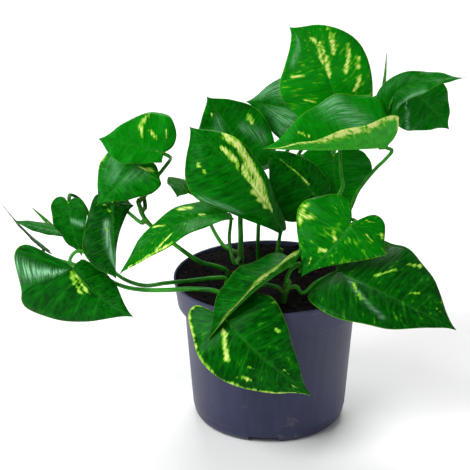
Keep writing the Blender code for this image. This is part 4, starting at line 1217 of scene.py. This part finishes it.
def leaf_material(name, deep, fresh, bloom, fringe, cream, rib, roughness, roughness_range, shine):
    """A blade's material from its colours and its gloss."""
    material, tree, shader = new_material(name)
    row, across, _ = grid_place(tree)
    part = calculate(tree, "ABSOLUTE", across)
    veins = use_group(tree, side_veins, [("Row", row), ("Part", part)])
    marks = use_group(tree, marks_group, [
        ("Row", row), ("Across", across), ("Seed", read(tree, "seed")),
        ("Amount", read(tree, "variegation"))])
    lightness = scaled(tree, read(tree, "tone"), TONE_GAIN, GREEN_START)
    lightness = calculate(tree, "MAXIMUM", scaled(tree, marks["Streaks"], STREAK_GAIN, lightness), 0.0)
    green = blend(tree, lightness, paint(*deep), paint(*fresh))
    # Painted highlight: a pale sheen painted into the colour where the glossy skin would reflect the
    # light, broken into lines across the veins.
    painted_highlight_mask = times(tree, read(tree, "bloom"), between(tree, marks["Painted Gleam"], 0.40, 0.60, 0.15, 1.0))
    for share, colour in ((times(tree, painted_highlight_mask, PAINTED_HIGHLIGHT_SHARE), bloom),
                          (times(tree, veins["Line"], VEIN_SHARE), rib),
                          (marks["Fringe"], fringe),
                          (marks["Cream"], cream),
                          (times(tree, read(tree, "midrib"), RIB_SHARE), rib),
                          (between(tree, part, 0.975, 1.0, 0.0, EDGE_SHARE), fringe)):
        green = blend(tree, share, green, paint(*colour))
    height = scaled(tree, veins["Fine Relief"], 0.25, times(tree, marks["Streaks"], 0.9))
    feed(tree, shader, [
        ("Base Color", green),
        ("Roughness", scaled(tree, marks["Streaks"], roughness_range, roughness)),
        ("Normal", bump(tree, height, RELIEF)),
        ("Specular IOR Level", shine),
        ("Specular Tint", GREEN_SHINE)])
    return material


leaf_upper = leaf_material("leaf upper side", **UPPER_SIDE)
leaf_under = leaf_material("leaf underside", **UNDERSIDE)
print("leaf materials:", leaf_upper.name, "and", leaf_under.name)

# %% [markdown]
# Each blade is held by a stalk, the petiole. It leaves the vine in a short clasping sheath, bows out
# to its leaf, bends in a slightly thicker knee and runs into the underside of the midrib. Its upper
# side is grooved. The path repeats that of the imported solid: the same root, the same bow and the same
# knee.

# %% Grow the leaves
GAP = 0.3
STALK_ROOT_RADIUS = 1.35
STALK_END_RADIUS = 1.0
STALK_STEPS = 46
STALK_SIDES = 18
STALK_GROOVE = 0.2
SHEATH_SWELLING = 0.45
KNEE_SWELLING = 0.16
KNEE_AT = 0.9
RING_AT = 0.06
KNEE_BACK = 5.0
KNEE_DROP = 3.5
START_LEAN = 0.35
START_LENGTH = 0.12
MIDRIB_DROP = 0.95
# Where the stalk's end runs under the midrib: how far ahead of the blade's base, and how far below it
UNDER_MIDRIB = ((2.3, 0.85), (4.5, 0.75))


def growing_point(vine, share, towards):
    """The vine's middle and its surface where a stalk leaves it, and the way that the stalk sets out."""
    line = vine_line(vine)
    index = int(round(share * (len(line) - 1)))
    tangent = unit(np.gradient(line, axis=0)[index])
    away = np.array(towards, dtype=float) - line[index]
    away = unit(away - tangent * (away @ tangent))
    grow = unit(away + START_LEAN * tangent)
    slope = grow @ tangent
    clear = np.interp(share, (0, 1), VINES[vine][1]) + GAP + STALK_ROOT_RADIUS * slope
    return line[index], line[index] + grow * clear / math.sqrt(1 - slope ** 2), grow


def stalk_line(blade, heart, root, grow, via):
    """The stalk's middle line, from inside the vine to the underside of the blade."""
    ahead, normal, base = blade.tangents[0], blade.normals[0], blade.line[0]
    knee = base - KNEE_BACK * ahead - KNEE_DROP * normal
    start = [root, root + grow * np.linalg.norm(knee - root) * START_LENGTH]
    line = smooth_curve([*start, *via, knee, base - MIDRIB_DROP * normal], STALK_STEPS)
    inside = [heart + (root - heart) * share for share in (0.4, 0.7)]
    under = [base + forward * ahead - below * normal for forward, below in UNDER_MIDRIB]
    return np.vstack([inside, line, under])


def lay_stalk(skin, blade, line):
    """Add a stalk, from the blade down to the vine, so that its groove starts on the upper side."""
    share = np.linspace(0, 1, len(line))
    swelling = 1 + KNEE_SWELLING * np.exp(-((share - KNEE_AT) / 0.05) ** 2)
    swelling += SHEATH_SWELLING * np.exp(-share / 0.05)
    radii = np.interp(share, (0, 1), (STALK_ROOT_RADIUS, STALK_END_RADIUS)) * swelling
    angles = np.linspace(0, 2 * math.pi, STALK_SIDES, endpoint=False)
    groove = 1 - STALK_GROOVE * np.exp(-((angles - math.pi / 2) / 0.5) ** 2)
    dry = 0.8 * np.exp(-((share - RING_AT) / 0.025) ** 2)
    tube(skin, line[::-1], radii[::-1], STALK_SIDES, slot=2, side=blade.sides[0],
         factors=groove[None], dry=dry[::-1, None])


def grow_leaf(name, number):
    """Build a leaf, with its stalk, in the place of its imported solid."""
    vine, share, via, shape = LEAVES[name]
    blade = Blade(**shape)
    skin = Skin()
    lay_blade(skin, blade, seed=number, **MARKS.get(name, PLAIN_MARKS))
    heart, root, grow = growing_point(vine, share, via[0] if via else blade.line[0])
    lay_stalk(skin, blade, stalk_line(blade, heart, root, grow, via))
    leaf = skin.make("fine_" + name, [leaf_upper, leaf_under, stem_green])
    return stand_for(leaf, name)


leaves = [grow_leaf(name, number) for number, name in enumerate(LEAVES)]
print("leaves:", len(leaves), "faces of one:", len(leaves[0].data.polygons))

# %% [markdown]
# A young leaf comes out of the stem rolled up like a paper cone, one edge wound round the other. We
# build it as a tube whose cross-section is a spiral: the radius grows once round and then drops back
# in one step, which is the free edge. The spiral turns slowly along the leaf, so the edge winds up to
# the tip.

# %% Material: young leaf
young_green, tree, shader = new_material("young leaf")
lines = cloud(tree, stretched(tree, grid_place(tree), 30.0, 9.0), 1.0, 3.0)
green = blend(tree, between(tree, lines, 0.4, 0.65), paint(26, 108, 20), paint(88, 168, 44))
feed(tree, shader, [
    ("Base Color", blend(tree, between(tree, lines, 0.62, 0.72), green, paint(170, 204, 110))),
    ("Roughness", scaled(tree, lines, 0.2, 0.25)),
    ("Normal", bump(tree, lines, 0.15))])
print("young leaf material:", young_green.name)

# %% Roll the young leaves
SPROUT_STEPS = 70
SPROUT_SIDES = 30
SPROUT_SWELLING = ((0.0, 1.2), (0.5, 0.9), (0.62, 1.5), (0.78, 1.3), (1.0, 0.15))
SPROUT_TURNS = 0.8
ROLL_START = 0.45
ROLL_LENGTH = 0.15
ROLL_STEP = 0.3

for name, (vine, share, way) in SPROUTS.items():
    heart, root, grow = growing_point(vine, share, way[0])
    line = smooth_curve([root, root + grow * 3.0, *way], SPROUT_STEPS)
    along = np.linspace(0, 1, SPROUT_STEPS)
    swelling = np.interp(along, *zip(*SPROUT_SWELLING))
    rolled = np.clip((along - ROLL_START) / ROLL_LENGTH, 0, 1)[:, None]
    turn = np.linspace(0, 1, SPROUT_SIDES, endpoint=False)
    winding = (turn[None] + SPROUT_TURNS * along[:, None]) % 1.0
    spiral = 1 + rolled * ROLL_STEP * (winding - 0.7)
    sprout_skin = Skin()
    tube(sprout_skin, line, swelling, SPROUT_SIDES, factors=spiral)
    stand_for(sprout_skin.make("fine_" + name, [young_green]), name)
print("young leaves rolled:", len(SPROUTS))
